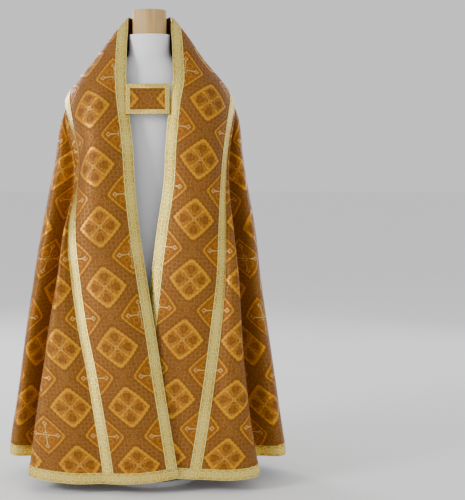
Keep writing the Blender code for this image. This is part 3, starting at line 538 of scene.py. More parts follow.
def brocade():
    """Diamonds in a twisted lattice, a flower and a cross in turn, gold and pale thread on copper.
    a and b are measured from the middle of the nearest flower, c and d from that of a cross, along
    the cloth's width and length. On the wearer's back, below the shoulders, the gold is painted darker:
    a painted shade for the dimmer light that the metal threads there give back."""
    s = Shader("brocade_weave", specular_ior_level=0.35)
    u, v = s.cut()
    half = REPEAT / 2
    pick, rounding, field = 0.0011, 1.12, 0.0632
    scallop_run, scallop_high = 0.0130, 0.0016
    back_from, shoulders = 0.07, 1.22

    def folded(a):
        """The distance to the nearest flower's middle, in steps of a pick."""
        turns = a / REPEAT
        return s.calc("SNAP", s.size(turns - s.calc("ROUND", turns)) * REPEAT, pick)

    a, b = folded(u), folded(v)
    c, d = half - a, half - b
    lattice = (half - (a + b)) / math.sqrt(2)
    along = (a - b) / math.sqrt(2)
    scallop = s.wave(along, scallop_run) * scallop_high

    def rounded_diamond(p, q):
        """How far outside a diamond with rounded corners, negative within it."""
        total = s.calc("POWER", p, rounding) + s.calc("POWER", q, rounding)
        return s.calc("POWER", total, 1 / rounding) - field

    flower_edge, cross_edge = rounded_diamond(a, b), rounded_diamond(c, d)
    in_flower, in_cross = s.within(flower_edge - scallop * 0.6), s.within(cross_edge - scallop * 0.6)
    in_band = 1.0 - in_flower - in_cross
    long_a, short_a = s.high(a, b), s.low(a, b)
    long_c, short_c = s.high(c, d), s.low(c, d)

    # The flower's diamond: a scalloped frame, four lobed petals on thin necks and fine rays between them.
    frame = s.within(s.size(flower_edge + 0.0056) - 0.0050 - scallop)
    drop = s.far((long_a - 0.0300) / 1.30, short_a * (1.75 - long_a * 24.0))
    lobes = s.size(s.wave(short_a + long_a * 0.25, 0.0190)) * 0.0030
    petal = s.high(s.within(drop + lobes - 0.0136), s.within(s.high(short_a - 0.0022, long_a - 0.028)))
    petal_edge = s.within(s.size(drop + lobes - 0.0140) - 0.0006)
    vein = s.within(s.size(s.calc("SINE", short_a * 1500.0)) - 0.45, 0.5) * petal
    ray = s.within(s.high((long_a - short_a) / math.sqrt(2) - 0.0009, s.far(a, b) - 0.027))
    leaf = s.within(s.far((s.far(a, b) - 0.034) / 1.5, (long_a - short_a) / math.sqrt(2)) - 0.0040)
    eye = s.within(s.size(s.far(a, b) - 0.0050) - 0.0014)

    # The cross's diamond: a thinner frame, arms that end in rings, a bud and four scrolls.
    thin = s.within(s.size(cross_edge + 0.0044) - 0.0030 - scallop * 0.6)
    arm = s.within(s.high(short_c - 0.0015 - long_c * 0.04, long_c - 0.031))
    link = s.within(s.size(s.size(long_c - 0.038) + short_c - 0.0066) - 0.0020)
    bud = s.within(s.size(s.far(c, d) - 0.0095) - 0.0014)
    scroll = s.within(s.size(s.far(c - 0.0165, d - 0.0165) - 0.0080) - 0.0010)

    # The lattice: leafy strands that twist, with a rosette at one crossing and an eyelet at the next.
    strand = s.wave(along, 0.036) * 0.0088
    twist = s.high(s.within(s.size(lattice - strand) - 0.0020), s.within(s.size(lattice + strand) - 0.0020))
    around, beside = s.far(c, b), s.far(a, d)
    rosette = s.high(s.within(s.size(around - 0.0130) - 0.0020), s.within(s.size(around - 0.0052) - 0.0014))
    on_rosette = s.within(around - 0.0165)
    eyelet = s.within(s.size(beside - 0.0060) - 0.0018)
    bars = s.within(s.high(s.size(s.size(d - 0.0135) - 0.0024) - 0.0010, a - 0.015))
    on_eyelet = s.within(s.high(a - 0.0155, d - 0.0170))

    clear = (1.0 - on_rosette) * (1.0 - on_eyelet)
    silver = s.high(twist * in_band * clear, rosette * on_rosette, s.high(eyelet, bars) * on_eyelet)
    pale = s.high(in_cross * s.high(arm, link, bud), clear * ray * in_flower * 0.7)
    gold = s.high(frame, petal_edge * 0.6, leaf, eye) * in_flower
    gold = s.high(gold, s.high(thin * 0.8, scroll * 0.6) * in_cross) * clear
    # Painted shade: the gold on the back below the shoulders is darkened by its place on the form.
    behind = s.within(back_from - s.place_of("Y"), 0.12) * s.within(s.place_of("Z") - shoulders, 0.10)
    gold = gold * (1.0 - behind * 0.40)

    # Threads catch the light unevenly, and the cloth's own tone drifts.
    grain = s.speckle((u, v), 420.0, 3.0)
    broken = s.speckle((u, v), 170.0, 2.0, (1.0, 0.45, 1.0))
    slow_noise = s.speckle((u, v), 7.0)
    rib = s.wave(v + u * 0.5, 0.0012)
    ground = s.mix(tone(158, 93, 4), tone(182, 114, 6), in_flower)
    ground = s.mix(ground, tone(136, 82, 14), in_band)
    ground = s.mix(ground, tone(124, 70, 6), petal * in_flower * 0.85)
    ground = s.mix(ground, tone(186, 124, 20), vein * in_flower * 0.30)
    ground = s.mix(ground, tone(86, 42, 4), s.within(0.47 - broken, 0.10) * 0.38)
    colour = s.mix(ground, tone(210, 145, 12), gold * s.within(0.34 - broken, 0.14))
    colour = s.mix(colour, tone(178, 132, 66), silver * s.within(0.45 - broken, 0.16) * 0.42)
    colour = s.mix(colour, tone(222, 182, 100), pale * s.within(0.38 - broken, 0.16) * 0.85)
    colour = s.mix(colour, tone(228, 168, 46), s.within(0.61 - grain, 0.14) * 0.26)
    colour = s.mix(colour, tone(86, 42, 4), s.within(slow_noise - 0.42, 0.30) * 0.18)
    figure = s.high(gold, pale, silver * 0.6)
    rough = 0.56 - figure * 0.20 + (grain - 0.5) * 0.2
    height = figure * 0.6 + rib * 0.12 + grain * 0.5
    return s.finish(colour, rough, height, 0.0006, 0.55, figure * 0.25 + 0.35)


def galloon(name, bright, dull):
    """A flat braid of metal thread: two selvedges and a running scroll between them, with broad painted
    glints.
    """
    s = Shader(name, specular_ior_level=0.5)
    u, v = s.cut()
    across = s.size(u)
    scroll, selvedge_at, line_at = 0.026, 0.0148, 0.0136
    ring_size, tendril_size, heart_size = 0.0065, 0.0050, 0.0022
    turns = v / scroll
    along = s.size(turns - s.calc("ROUND", turns)) * scroll
    selvedge = s.within(selvedge_at - across, 0.0005)
    line = s.within(s.size(across - line_at) - 0.0007)
    ring = s.within(s.size(s.far(across, along) - ring_size) - 0.0012)
    tendril = s.within(s.size(s.far(across - 0.0075, along - scroll / 2) - tendril_size) - 0.0011)
    heart = s.within(s.far(across, along) - heart_size)
    figure = s.high(ring, tendril, heart, selvedge)
    thread = s.wave(v, 0.0011)
    grain = s.speckle((u, v), 520.0, 2.0, (1.0, 0.5, 1.0))
    slow_noise = s.speckle((u, v), 9.0, 1.0)
    colour = s.mix(tone(*dull), tone(*bright), figure * s.within(0.34 - grain, 0.2) + thread * 0.10)
    colour = s.mix(colour, tone(104, 78, 24), line * 0.65)
    # Painted glints: broad patches of the braid painted brighter, standing in for highlights off the metal.
    colour = s.mix(colour, tone(*bright), s.within(0.52 - slow_noise, 0.25) * 0.35)
    colour = s.mix(colour, tone(104, 76, 18), s.within(grain - 0.42, 0.14) * 0.45)
    height = figure * 0.7 + thread * 0.25 + grain * 0.4
    return s.finish(colour, 0.36 - figure * 0.08 + (grain - 0.5) * 0.2, height, 0.0005, 0.6, 0.82)


def cloth(name, colour, shade, pitch, roughness, patch=6.0, slub=260.0, strength=0.3, **steady):
    """A plain weave on its own cut: ribs a pitch apart, slubs and a slow change of tone."""
    s = Shader(name, **steady)
    u, v = s.cut()
    slubs = s.speckle((u, v), slub, 2.0, (0.25, 1.0, 1.0))
    slow_noise = s.speckle((u, v), patch)
    rib = s.wave(v, pitch) * 0.5 + s.wave(u, pitch) * 0.5
    look = s.mix(tone(*colour), tone(*shade), s.within(slow_noise - 0.5, 0.4) * 0.45)
    look = s.mix(look, tone(*shade), s.within(slubs - 0.40, 0.16) * 0.35)
    return s.finish(look, roughness + (slubs - 0.5) * 0.15, rib * 0.3 + slubs, 0.0003, strength)


def stitching():
    """Satin stitch: glossy threads side by side across each shape, darker at its outline."""
    s = Shader("satin_stitch", specular_ior_level=0.3)
    u, v = s.cut()
    thread = s.wave(v + s.speckle((u, v), 90.0) * 0.0006, 0.0009)
    light = s.speckle((u, v), 60.0, 1.0, (0.3, 1.6, 1.0))
    colour = s.mix(tone(196, 140, 0), tone(236, 186, 0), s.within(0.5 - light, 0.22) * 0.7)
    colour = s.mix(colour, tone(124, 80, 0), s.within(thread * 0.5 - 0.1, 0.5) * 0.4)
    colour = s.mix(colour, tone(84, 48, 4), s.within(0.72 - s.size(u), 0.14) * 0.95)
    return s.finish(colour, 0.34, thread, 0.0003, 0.6)


def bullion():
    """Twisted cords, dull gold over brown in turn."""
    s = Shader("bullion_cord")
    u, v = s.cut()
    ply = s.wave(v + u * 0.004, 0.004)
    grain = s.speckle((u, v), 300.0)
    tint = s.speckle(s.solid(), 90.0, 1.0, (1.0, 1.0, 0.1))
    colour = s.mix(tone(164, 126, 52), tone(98, 66, 20), s.within(ply * 0.5, 0.7) * 0.8)
    colour = s.mix(colour, tone(208, 172, 86), s.within(0.54 - tint, 0.14) * 0.45)
    return s.finish(colour, 0.50, ply * 0.5 + grain, 0.0004, 0.5, 0.3)


def timber():
    """Pale planed wood with upright grain."""
    s = Shader("block_wood", specular_ior_level=0.4)
    rings = s.speckle(s.solid(), 60.0, 4.0, (1.0, 1.0, 0.06))
    fleck = s.speckle(s.solid(), 420.0, 2.0, (1.0, 1.0, 0.05))
    colour = s.mix(tone(206, 172, 112), tone(176, 134, 76), s.within(rings - 0.48, 0.3) * 0.8)
    colour = s.mix(colour, tone(150, 120, 78), s.within(fleck - 0.36, 0.08) * 0.4)
    return s.finish(colour, 0.52, rings + fleck * 0.5, 0.0003, 0.3)


def painted():
    """White stoving paint, faintly orange-peeled and rubbed."""
    s = Shader("stand_paint")
    peel = s.speckle(s.solid(), 900.0)
    rub = s.speckle(s.solid(), 25.0, 3.0)
    colour = s.mix(tone(222, 222, 223), tone(202, 201, 199), s.within(0.60 - rub, 0.12) * 0.5)
    return s.finish(colour, 0.36 + rub * 0.2, peel, 0.0002, 0.25)


BROCADE = brocade()
GOLD = galloon("galloon_braid", (255, 240, 138), (210, 170, 62))
LINING = cloth("lining_cloth", (96, 52, 30), (70, 34, 20), 0.0007, 0.62, sheen_weight=0.1)
SATIN = cloth("satin_cloth", (228, 213, 184), (210, 192, 160), 0.0006, 0.36, sheen_weight=0.12)
JERSEY = cloth("form_jersey", (246, 246, 247), (236, 236, 239), 0.0010, 0.85, sheen_weight=0.1)
COVERED = cloth("button_weave", (158, 92, 24), (118, 64, 14), 0.0008, 0.5, sheen_weight=0.1)
STITCH, FRINGE, WOOD, PAINT = stitching(), bullion(), timber(), painted()


# ----------------------------------------------------------------------------------- meshes
def finished(name, verts, faces, cuts, materials, kinds=None, smooth=40):
    """A mesh object. cuts holds the coordinates on the cut of each face's corners, in order."""
    data = bpy.data.meshes.new(name)
    data.from_pydata([tuple(p) for p in verts], [], faces)
    layer = data.uv_layers.new(name="Cut")
    layer.data.foreach_set("uv", np.asarray(cuts, np.float32).ravel())
    for material in materials:
        data.materials.append(material)
    if kinds is not None:
        data.polygons.foreach_set("material_index", kinds)
    data.shade_smooth()
    data.set_sharp_from_angle(angle=math.radians(smooth))
    thing = bpy.data.objects.new(name, data)
    bpy.context.scene.collection.objects.link(thing)
    return thing


def wrapped(first, sides, along, pitch=1.0):
    """Rings of vertices made into a wall with a cap at each end: faces, and their coordinates."""
    faces, cuts = [], []
    for r in range(len(along) - 1):
        for k in range(sides):
            a, b = first + r * sides + k, first + r * sides + (k + 1) % sides
            faces.append((a, b, b + sides, a + sides))
            ends = ((k, r), (k + 1, r), (k + 1, r + 1), (k, r + 1))
            cuts += [(side * pitch, along[ring]) for side, ring in ends]
    for r, order in ((0, -1), (len(along) - 1, 1)):
        faces.append(tuple(first + r * sides + k for k in range(sides))[::order])
        cuts += [(k * pitch, along[r]) for k in range(sides)]
    return faces, cuts


def shell(name, points, normals, low, high, weave, materials, behind=None, split=None):
    """A closed wall of cloth on a grid. Columns past split take their weave from behind."""
    rows, columns = points.shape[:2]
    high = np.broadcast_to(high, (rows, columns))[..., None]
    outer, inner = points + normals * high, points + normals * low
    verts = np.concatenate([outer.reshape(-1, 3), inner.reshape(-1, 3)])
    index = np.arange(rows * columns).reshape(rows, columns)
    quads = np.stack([index[:-1, :-1], index[1:, :-1], index[1:, 1:], index[:-1, 1:]], axis=2).reshape(-1, 4)
    middle = (rows // 2, columns // 2)
    step_down = outer[middle] - outer[middle[0] - 1, middle[1]]
    step_over = outer[middle] - outer[middle[0], middle[1] - 1]
    inside_out = np.cross(step_down, step_over) @ normals[middle] < 0
    if inside_out:
        quads = quads[:, ::-1]
    flat = weave.reshape(-1, 2)
    corner = flat[quads]
    if behind is not None:
        past = quads.min(axis=1) % columns >= split
        corner[past] = behind.reshape(-1, 2)[quads[past]]
    under = quads[:, ::-1] + rows * columns
    ring = np.concatenate([index[0, :-1], index[:-1, -1], index[-1, :0:-1], index[:0:-1, 0]])
    ahead = np.roll(ring, -1)
    sides = np.stack([ring, ahead, ahead + rows * columns, ring + rows * columns], axis=1)
    if inside_out:
        sides = sides[:, ::-1]
    faces = np.concatenate([quads, under, sides])
    doubled = np.concatenate([flat, flat])
    cuts = np.concatenate([corner, corner[:, ::-1], doubled[sides]])
    kinds = np.zeros(len(faces), np.int32)
    if len(materials) > 1:
        kinds[len(quads) : 2 * len(quads)] = 1
    return finished(name, verts, faces.tolist(), cuts, materials, kinds)


def place(thing, slot, *nodes):
    """Puts a piece on the body, in place of its CAD nodes. The slot is not used."""
    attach(thing, "root")
    if nodes:
        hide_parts(*nodes)
    return thing


# ------------------------------------------------------------------------ mantle and orphrey
def crowned(columns, height, drop=0.0004):
    """A band's thickness across its width, less at its two edges."""
    share = np.linspace(-1, 1, columns)
    return height - drop * share**6


def band_cut(points, middle=0.0):
    """A band's coordinates: across from its middle, and along."""
    across = lengths(points, axis=1)
    across = across - across[:, -1:] / 2 + middle
    along = lengths(points, axis=0).mean(axis=1, keepdims=True)
    return np.stack([across, np.broadcast_to(along, across.shape)], axis=2)


def true_width(points, normals, width, from_outer):
    """The strip of a grid within a width of its free edge, or of its outer edge, along the cloth."""
    if from_outer:
        points, normals = points[:, ::-1], normals[:, ::-1]
    run = lengths(points, axis=1)
    wanted = np.linspace(0.0, width, 7)
    strip = np.array([[np.interp(wanted, r, row[:, k]) for k in range(3)] for r, row in zip(run, points)])
    out = np.array([[np.interp(wanted, r, row[:, k]) for k in range(3)] for r, row in zip(run, normals)])
    strip, out = strip.transpose(0, 2, 1), unit(out.transpose(0, 2, 1))
    return (strip[:, ::-1], out[:, ::-1]) if from_outer else (strip, out)


VALLEY = int(np.argmin(np.abs(COLUMNS - VALLEY_COLUMN)))
HEM_ROW = int(np.argmin(np.abs(ROWS - HEM_BAND_AT)))
for name, half in HALVES:
    body, mantle = panels[name]
    grid = body.points
    thing = shell(f"orphrey_cloth_{name}", grid, body.normals, -CLOTH, 0.0, body.weave, (BROCADE, LINING))
    place(thing, "brocade", f"orphrey_{name}")
    thing = shell(
        f"mantle_cloth_{name}", mantle.points, mantle.normals, -CLOTH, 0.0, mantle.weave, (BROCADE, LINING),
        mantle.behind, VALLEY,
    )
    place(thing, "brocade", f"mantle_{name}")
    for kind, from_outer in (("edge", False), ("inner", True)):
        strip, out = true_width(grid[: HEM_ROW + 1], body.normals[: HEM_ROW + 1], GALLOON, from_outer)
        high = crowned(strip.shape[1], SEAM + TRIM)
        thing = shell(f"{kind}_braid_{name}", strip, out, SEAM, high, band_cut(strip), (GOLD,))
        place(thing, "galloon", f"{kind}_galloon_{name}")
    ring_row = HEM_ROW - (len(ROWS) - len(FRONT_ROWS))
    strip = np.concatenate([grid[HEM_ROW:], mantle.points[ring_row:, 1:]], axis=1).transpose(1, 0, 2)
    out = np.concatenate([body.normals[HEM_ROW:], mantle.normals[ring_row:, 1:]], axis=1).transpose(1, 0, 2)
    high = crowned(strip.shape[1], SEAM + TRIM)
    thing = shell(f"hem_braid_{name}", strip, out, SEAM, high, band_cut(strip), (GOLD,))
    place(thing, "galloon", f"hem_galloon_{name}")
    rows, columns = ROWS <= COLLAR_END, ACROSS <= COLLAR_DEPTH
    strip, out = grid[rows][:, columns], body.normals[rows][:, columns]
    under = -CLOTH - SEAM
    thing = shell(f"facing_{name}", strip, out, under - TRIM, under, band_cut(strip), (LINING,))
    place(thing, "lining", f"collar_facing_{name}")


def collar_strip(half, t, reach):
    """Points and normals across the centre back, at t on the orphrey, out to a reach on one side."""
    unit_out = abs(half.orphrey([1.0], [t])[0, 0, 0])
    ats = np.linspace(0.0, reach, 4) / unit_out
    points = half.orphrey(ats, [t])[:, 0]
    ahead = half.orphrey(ats + 0.01, [t])[:, 0] - half.orphrey(np.maximum(ats - 0.01, 0.0), [t])[:, 0]
    fall = half.orphrey(ats, [t + 0.002])[:, 0] - half.orphrey(ats, [t - 0.002])[:, 0]
    normals = unit(np.cross(ahead, fall) * half.side)
    return points + normals * drape(points)[:, None], normals


found = []
for t in np.linspace(GALLOON + 2 * SEAM, ORPHREY - GALLOON - 2 * SEAM, 24):
    sides = [collar_strip(half, t, GALLOON / 2) for half in (left, right)]
    row = np.concatenate([sides[0][0][:0:-1], sides[1][0]])
    out = np.concatenate([sides[0][1][:0:-1], sides[1][1]])
    found.append((row, out))
strip = np.array([row for row, _ in found])
out = np.array([o for _, o in found])
thing = shell("collar_braid", strip, out, BAND_LIFT, BAND_LIFT + TRIM, band_cut(strip), (GOLD,))
place(thing, "galloon", "collar_band")


# -------------------------------------------------------------------------------------- hood
HOOD_WIDER, HOOD_STANDOFF, HOOD_HALF = 0.022, 0.012, 0.272
HOOD_TOP, HOOD_DROOP, HOOD_SHOULDER, HOOD_LOWEST, HOOD_ROUND = 1.215, 0.028, 0.930, 0.700, 2.4
HOOD_BAND, HOOD_BORDER, SATIN_THICK = 0.031, 0.011, 0.0010
SPRINGING, ARCH_HALF, ARCH_RISE, SIDE_ARCH_RISE = 1.012, 0.133, 0.145, 0.100
PILLAR_IN, PILLAR_OUT = 0.141, 0.172
BACK_HIGH, BACK_HALF, BACK_DEPTH = 1.244, (0.272, 0.157), (0.158, 0.074)
TURNS = np.linspace(0.0, math.pi / 2, 91)
ON_HOOD = CLOTH + LAY
ON_SATIN = ON_HOOD + TRIM + LAY
# A flower's middle on the hood: its distance from the hood's middle, and its height.
HOOD_FLOWER = (0.150, 1.120)


# Slow swells of the hood: wave numbers round and up, and height. Then its fine puckers: wave number
# up, how far they wander, the wander's wave number round, and height.
HOOD_SWELLS = ((11, 5, 0.0010), (-8, 17, 0.0008))
PUCKER_UP, PUCKER_WANDER, PUCKER_ROUND, PUCKER = 150, 2.4, 14, 0.00022


def hood_place(along, height):
    """A point of the hood's inner face and its outward normal."""
    width = BACK_HALF[0] + BACK_HALF[1] * (BACK_HIGH - height) + HOOD_WIDER
    depth = BACK_DEPTH[0] + BACK_DEPTH[1] * (BACK_HIGH - height) + HOOD_STANDOFF
    speeds = np.hypot(width * np.cos(TURNS), depth * np.sin(TURNS))
    run = np.concatenate([[0.0], np.cumsum((speeds[1:] + speeds[:-1]) / 2 * np.diff(TURNS))])
    turn = math.copysign(np.interp(abs(along), run, TURNS), along)
    normal = unit(np.array([depth * math.sin(turn), width * math.cos(turn), 0.0]))
    swell = sum(high * math.sin(over * along + up * height) for over, up, high in HOOD_SWELLS)
    pucker = PUCKER * math.sin(PUCKER_UP * height + PUCKER_WANDER * math.sin(PUCKER_ROUND * along))
    swell += pucker * (1 - (along / HOOD_HALF) ** 2)
    return np.array([width * math.sin(turn), depth * math.cos(turn), height]) + normal * swell, normal


def on_hood(places):
    """Points and normals for a grid of (distance round the back, height)."""
    found = [[hood_place(*place) for place in row] for row in places]
    return np.array([[p for p, _ in row] for row in found]), np.array([[n for _, n in row] for row in found])


def hood_top(along):
    return HOOD_TOP - HOOD_DROOP * (along / HOOD_HALF) ** 2


def hood_bottom(along, inset=0.0):
    share = min(abs(along) / (HOOD_HALF - inset), 1.0)
    reach = HOOD_SHOULDER - HOOD_LOWEST - inset
    return HOOD_SHOULDER - reach * (1 - share**HOOD_ROUND) ** (1 / HOOD_ROUND)


def under_border(along):
    return hood_bottom(along, HOOD_BORDER / 2)


def arch_line(along):
    share = min(abs(along) / (ARCH_HALF - HOOD_BORDER / 2), 1.0)
    return SPRINGING + (ARCH_RISE - HOOD_BORDER / 2) * math.sqrt(1 - share**2)


def side_arch_line(along):
    """A quarter arch that rises from its pillar to the hood's edge."""
    run = (abs(along) - PILLAR_OUT) / (HOOD_HALF - PILLAR_OUT)
    return SPRINGING + SIDE_ARCH_RISE * math.sqrt(max(1 - (1 - run) ** 2, 0.0))


def hood_sheet(name, slot, node, span, lines, low, high, materials, cut=None, step=0.006, rows=44):
    """A patch of the hood between two distances round it and two height functions."""
    bottom, top = lines
    columns = finest(*span, step)
    shares = np.linspace(0.0, 1.0, rows)
    places = np.array([[(a, top(a) + (bottom(a) - top(a)) * share) for a in columns] for share in shares])
    points, normals = on_hood(places)
    weave = places if cut is None else cut(places)
    thing = shell(name, points, normals, low, high, weave, materials)
    place(thing, slot, node)


def hood_braid(name, node, path, width, low):
    """A narrow braid on the hood, its outer edge on a path, its width to the path's right."""
    path = np.array(path)
    ahead = unit(np.gradient(path, axis=0))
    inward = np.stack([ahead[:, 1], -ahead[:, 0]], axis=1)
    shares = np.linspace(0.0, 1.0, 5)
    points, normals = on_hood(path[:, None] + inward[:, None] * (shares * width)[None, :, None])
    high = crowned(5, low + TRIM, 0.0003)
    thing = shell(name, points, normals, low, high, band_cut(points), (GOLD,))
    place(thing, "galloon", node)


def mirrored_brocade(places):
    """The brocade's coordinates, the same on both sides of the hood's middle."""
    return np.stack([np.abs(places[..., 0]) - HOOD_FLOWER[0], places[..., 1] - HOOD_FLOWER[1]], axis=2)


def band_across(places):
    """A level band's coordinates."""
    middle = (places[:1, :, 1] + places[-1:, :, 1]) / 2
    return np.stack([places[..., 1] - middle, places[..., 0]], axis=2)


def band_upright(places):
    middle = (places[:, :1, 0] + places[:, -1:, 0]) / 2
    return np.stack([places[..., 0] - middle, places[..., 1]], axis=2)


whole = (-HOOD_HALF, HOOD_HALF)
hood_sheet(
    "hood_cloth", "brocade", "hood", whole, (hood_bottom, hood_top), 0.0, CLOTH, (BROCADE, LINING),
    mirrored_brocade, rows=60,
)
middle = PILLAR_IN - SEAM
fields = (
    ("middle", -middle, middle, arch_line),
    ("left", -HOOD_HALF + HOOD_BORDER / 2, -PILLAR_OUT - SEAM, side_arch_line),
    ("right", PILLAR_OUT + SEAM, HOOD_HALF - HOOD_BORDER / 2, side_arch_line),
)
for side, first, last, top in fields:
    hood_sheet(
        f"satin_field_{side}", "satin", f"satin_{side}", (first, last), (under_border, top), ON_HOOD,
        ON_HOOD + SATIN_THICK, (SATIN,), step=0.004, rows=60,
    )
hood_sheet(
    "hood_top_braid", "galloon", "hood_band", whole, (lambda a: hood_top(a) - HOOD_BAND, hood_top), ON_HOOD,
    ON_HOOD + TRIM, (GOLD,), band_across, rows=6,
)
for side, sign in (("left", -1), ("right", 1)):
    span = sorted((sign * PILLAR_IN, sign * PILLAR_OUT))
    hood_sheet(
        f"pillar_braid_{side}", "galloon", f"pillar_{side}", span,
        (under_border, lambda a: SPRINGING + HOOD_BORDER / 2), ON_HOOD, ON_HOOD + TRIM, (GOLD,),
        band_upright, 0.006, 50,
    )
    ends = sorted((sign * (PILLAR_IN - HOOD_BORDER), sign * (PILLAR_OUT + HOOD_BORDER)))
    path = [(a, SPRINGING + HOOD_BORDER) for a in np.linspace(*ends, 9)]
    hood_braid(f"cap_braid_{side}", f"cap_{side}", path, HOOD_BORDER, ON_SATIN)
    run = HOOD_HALF - PILLAR_OUT - HOOD_BORDER - 0.0025
    quarter = [PILLAR_OUT + run * (1 - math.cos(math.pi / 2 * k)) for k in np.linspace(0.14, 1.0, 30)]
    path = [(sign * a, side_arch_line(a) + HOOD_BORDER / 2) for a in quarter]
    hood_braid(
        f"side_arch_braid_{side}", f"side_arch_{side}", path[::sign], HOOD_BORDER, ON_SATIN,
    )
turns = np.linspace(math.radians(174), math.radians(6), 80)
path = [(ARCH_HALF * math.cos(a), SPRINGING + ARCH_RISE * math.sin(a)) for a in turns]
hood_braid("arch_braid", "arch", path, HOOD_BORDER, ON_SATIN)


def shield_path(inset, steps=60):
    """The hood's outline, down its left side, round and up its right."""
    half = HOOD_HALF - inset
    reach = HOOD_SHOULDER - HOOD_LOWEST - inset
    start = hood_top(half)
    side = [(-half, start + (HOOD_SHOULDER - start) * k / 30) for k in range(30)]
    power = 2 / HOOD_ROUND
    turns = [math.pi * k / (2 * steps) for k in range(steps + 1)]
    curve = [(-half * math.cos(a) ** power, HOOD_SHOULDER - reach * math.sin(a) ** power) for a in turns]
    return side + curve + [(-a, z) for a, z in (side + curve)[-2::-1]]


outline = [p for p in shield_path(0.0) if p[1] < hood_top(p[0]) - HOOD_BAND - SEAM]
hood_braid("border_braid", "hood_border", outline[::-1], HOOD_BORDER, ON_SATIN)


# ------------------------------------------------------------------------------------ fringe
FRINGE_PITCH, CORD_RADIUS, CORD_TWIST = 0.0036, 0.0016, 0.0100
CORD_RINGS, CORD_SIDES = 13, 6
# A cord's length at the hood's sides, how much longer it is at the foot, how uneven, how far its row
# splays and it sways, where it hangs off the hood, and how deep its twist and long its rounded tip are.
CORD_LEAST, CORD_MORE, CORD_UNEVEN = 0.034, 0.021, (0.94, 1.03)
CORD_SPLAY, CORD_SWAY, CORD_LAYER, NEXT_LAYER = 0.42, 0.05, 0.0018, 0.0022
TWIST_DEPTH, TIP = 0.22, 0.1
draws = random.Random(11)
path = np.array(shield_path(-SEAM))
run = lengths(path)
count = int(run[-1] / FRINGE_PITCH)
ahead = unit(np.gradient(path, axis=0))
outward = np.stack([ahead[:, 1], -ahead[:, 0]], axis=1)
verts, faces, cuts = [], [], []
for number in range(count):
    at = (number + 0.5) * FRINGE_PITCH
    root = np.array([np.interp(at, run, path[:, k]) for k in range(2)])
    out = unit(np.array([np.interp(at, run, outward[:, k]) for k in range(2)]))
    down = max(-out[1], 0.0)
    fall = unit(out * CORD_SPLAY + np.array([0.0, -1.0]))
    length = (CORD_LEAST + CORD_MORE * down) * draws.uniform(*CORD_UNEVEN)
    sway = draws.uniform(-CORD_SWAY, CORD_SWAY)
    layer = CORD_LAYER + NEXT_LAYER * (number % 2) * (1 - 0.5 * down)
    phase = draws.uniform(0.0, 2 * math.pi)
    first = len(verts)
    for ring in range(CORD_RINGS):
        share = ring / (CORD_RINGS - 1)
        spot = root + fall * length * share + np.array([sway * length * share**2, 0.0])
        point, normal = hood_place(*spot)
        beside = unit(np.cross(normal, np.array([0.0, 0.0, 1.0])))
        tip = math.sqrt(max(1 - (max(share - 1 + TIP, 0.0) / TIP) ** 2, 0.04))
        for side in range(CORD_SIDES):
            turn = 2 * math.pi * side / CORD_SIDES
            twist = 2 * math.pi * share * length / CORD_TWIST + phase
            radius = CORD_RADIUS * tip * (1 + TWIST_DEPTH * math.cos(2 * (turn - twist)))
            verts.append(
                point + normal * (layer + radius * math.sin(turn)) + beside * (radius * math.cos(turn))
            )
    along = [length * ring / (CORD_RINGS - 1) for ring in range(CORD_RINGS)]
    wall, coordinates = wrapped(first, CORD_SIDES, along)
    faces += wall
    cuts += coordinates
place(finished("bullion_fringe", verts, faces, cuts, (FRINGE,), smooth=80), "bullion", "hood_fringe")


# -------------------------------------------------------------------------------- embroidery
class Needlework:
    """Padded satin-stitch shapes, gathered into one mesh on the hood."""

    def __init__(self):
        self.verts, self.faces, self.cuts = [], [], []

    def shape(self, spine, widths, rise=0.0016, ends=0.35):
        """A domed ribbon along a spine of (distance, height), of the half width at each point."""
        spine = np.array(spine, float)
        at = lengths(spine)
        fine = np.linspace(0, len(spine) - 1, 36)
        line, wide = spline(spine, fine), np.maximum(spline(np.array(widths, float), fine), 0.0003)
        ahead = unit(np.gradient(line, axis=0))
        side = np.stack([-ahead[:, 1], ahead[:, 0]], axis=1)
        across = np.linspace(-1.0, 1.0, 9)
        places = line[:, None] + side[:, None] * (wide[:, None] * across)[..., None]
        points, normals = on_hood(places)
        along = np.interp(fine, range(len(spine)), at)
        taper = np.minimum(1.0, wide / 0.004) ** ends
        dome = rise * taper[:, None] * np.sqrt(np.maximum(1 - across**2, 0.0))[None]
        rows, columns = dome.shape
        first = len(self.verts)
        top = (points + normals * (ON_SATIN + dome)[..., None]).reshape(-1, 3)
        base = (points + normals * (ON_SATIN - LAY)).reshape(-1, 3)
        self.verts += list(top) + list(base)
        index = np.arange(rows * columns).reshape(rows, columns) + first
        grid = [(across[c], along[r]) for r in range(rows) for c in range(columns)]
        for r in range(rows - 1):
            for c in range(columns - 1):
                quad = (index[r, c], index[r, c + 1], index[r + 1, c + 1], index[r + 1, c])
                self.add(quad, grid, first)
                self.add(tuple(v + rows * columns for v in quad[::-1]), grid, first, rows * columns)
        ring = list(index[0, :-1]) + list(index[:-1, -1]) + list(index[-1, :0:-1]) + list(index[:0:-1, 0])
        for a, b in zip(ring, ring[1:] + ring[:1]):
            self.faces.append((int(b), int(a), int(a) + rows * columns, int(b) + rows * columns))
            self.cuts += [grid[b - first], grid[a - first], grid[a - first], grid[b - first]]

    def add(self, quad, grid, first, below=0):
        self.faces.append(tuple(int(v) for v in quad))
        self.cuts += [grid[v - first - below] for v in quad]

    def piece(self, name, node):
        thing = finished(name, self.verts, self.faces, self.cuts, (STITCH,), smooth=50)
        mesh = bmesh.new()
        mesh.from_mesh(thing.data)
        bmesh.ops.recalc_face_normals(mesh, faces=mesh.faces)
        mesh.to_mesh(thing.data)
        mesh.free()
        return place(thing, "gold_thread", node)


CROSSING = (0.0, 0.985)
# The arms of the cross: quarter turns from the wearer's right, and length.
ARMS = ((0, 0.088), (1, 0.088), (2, 0.088), (3, 0.215))
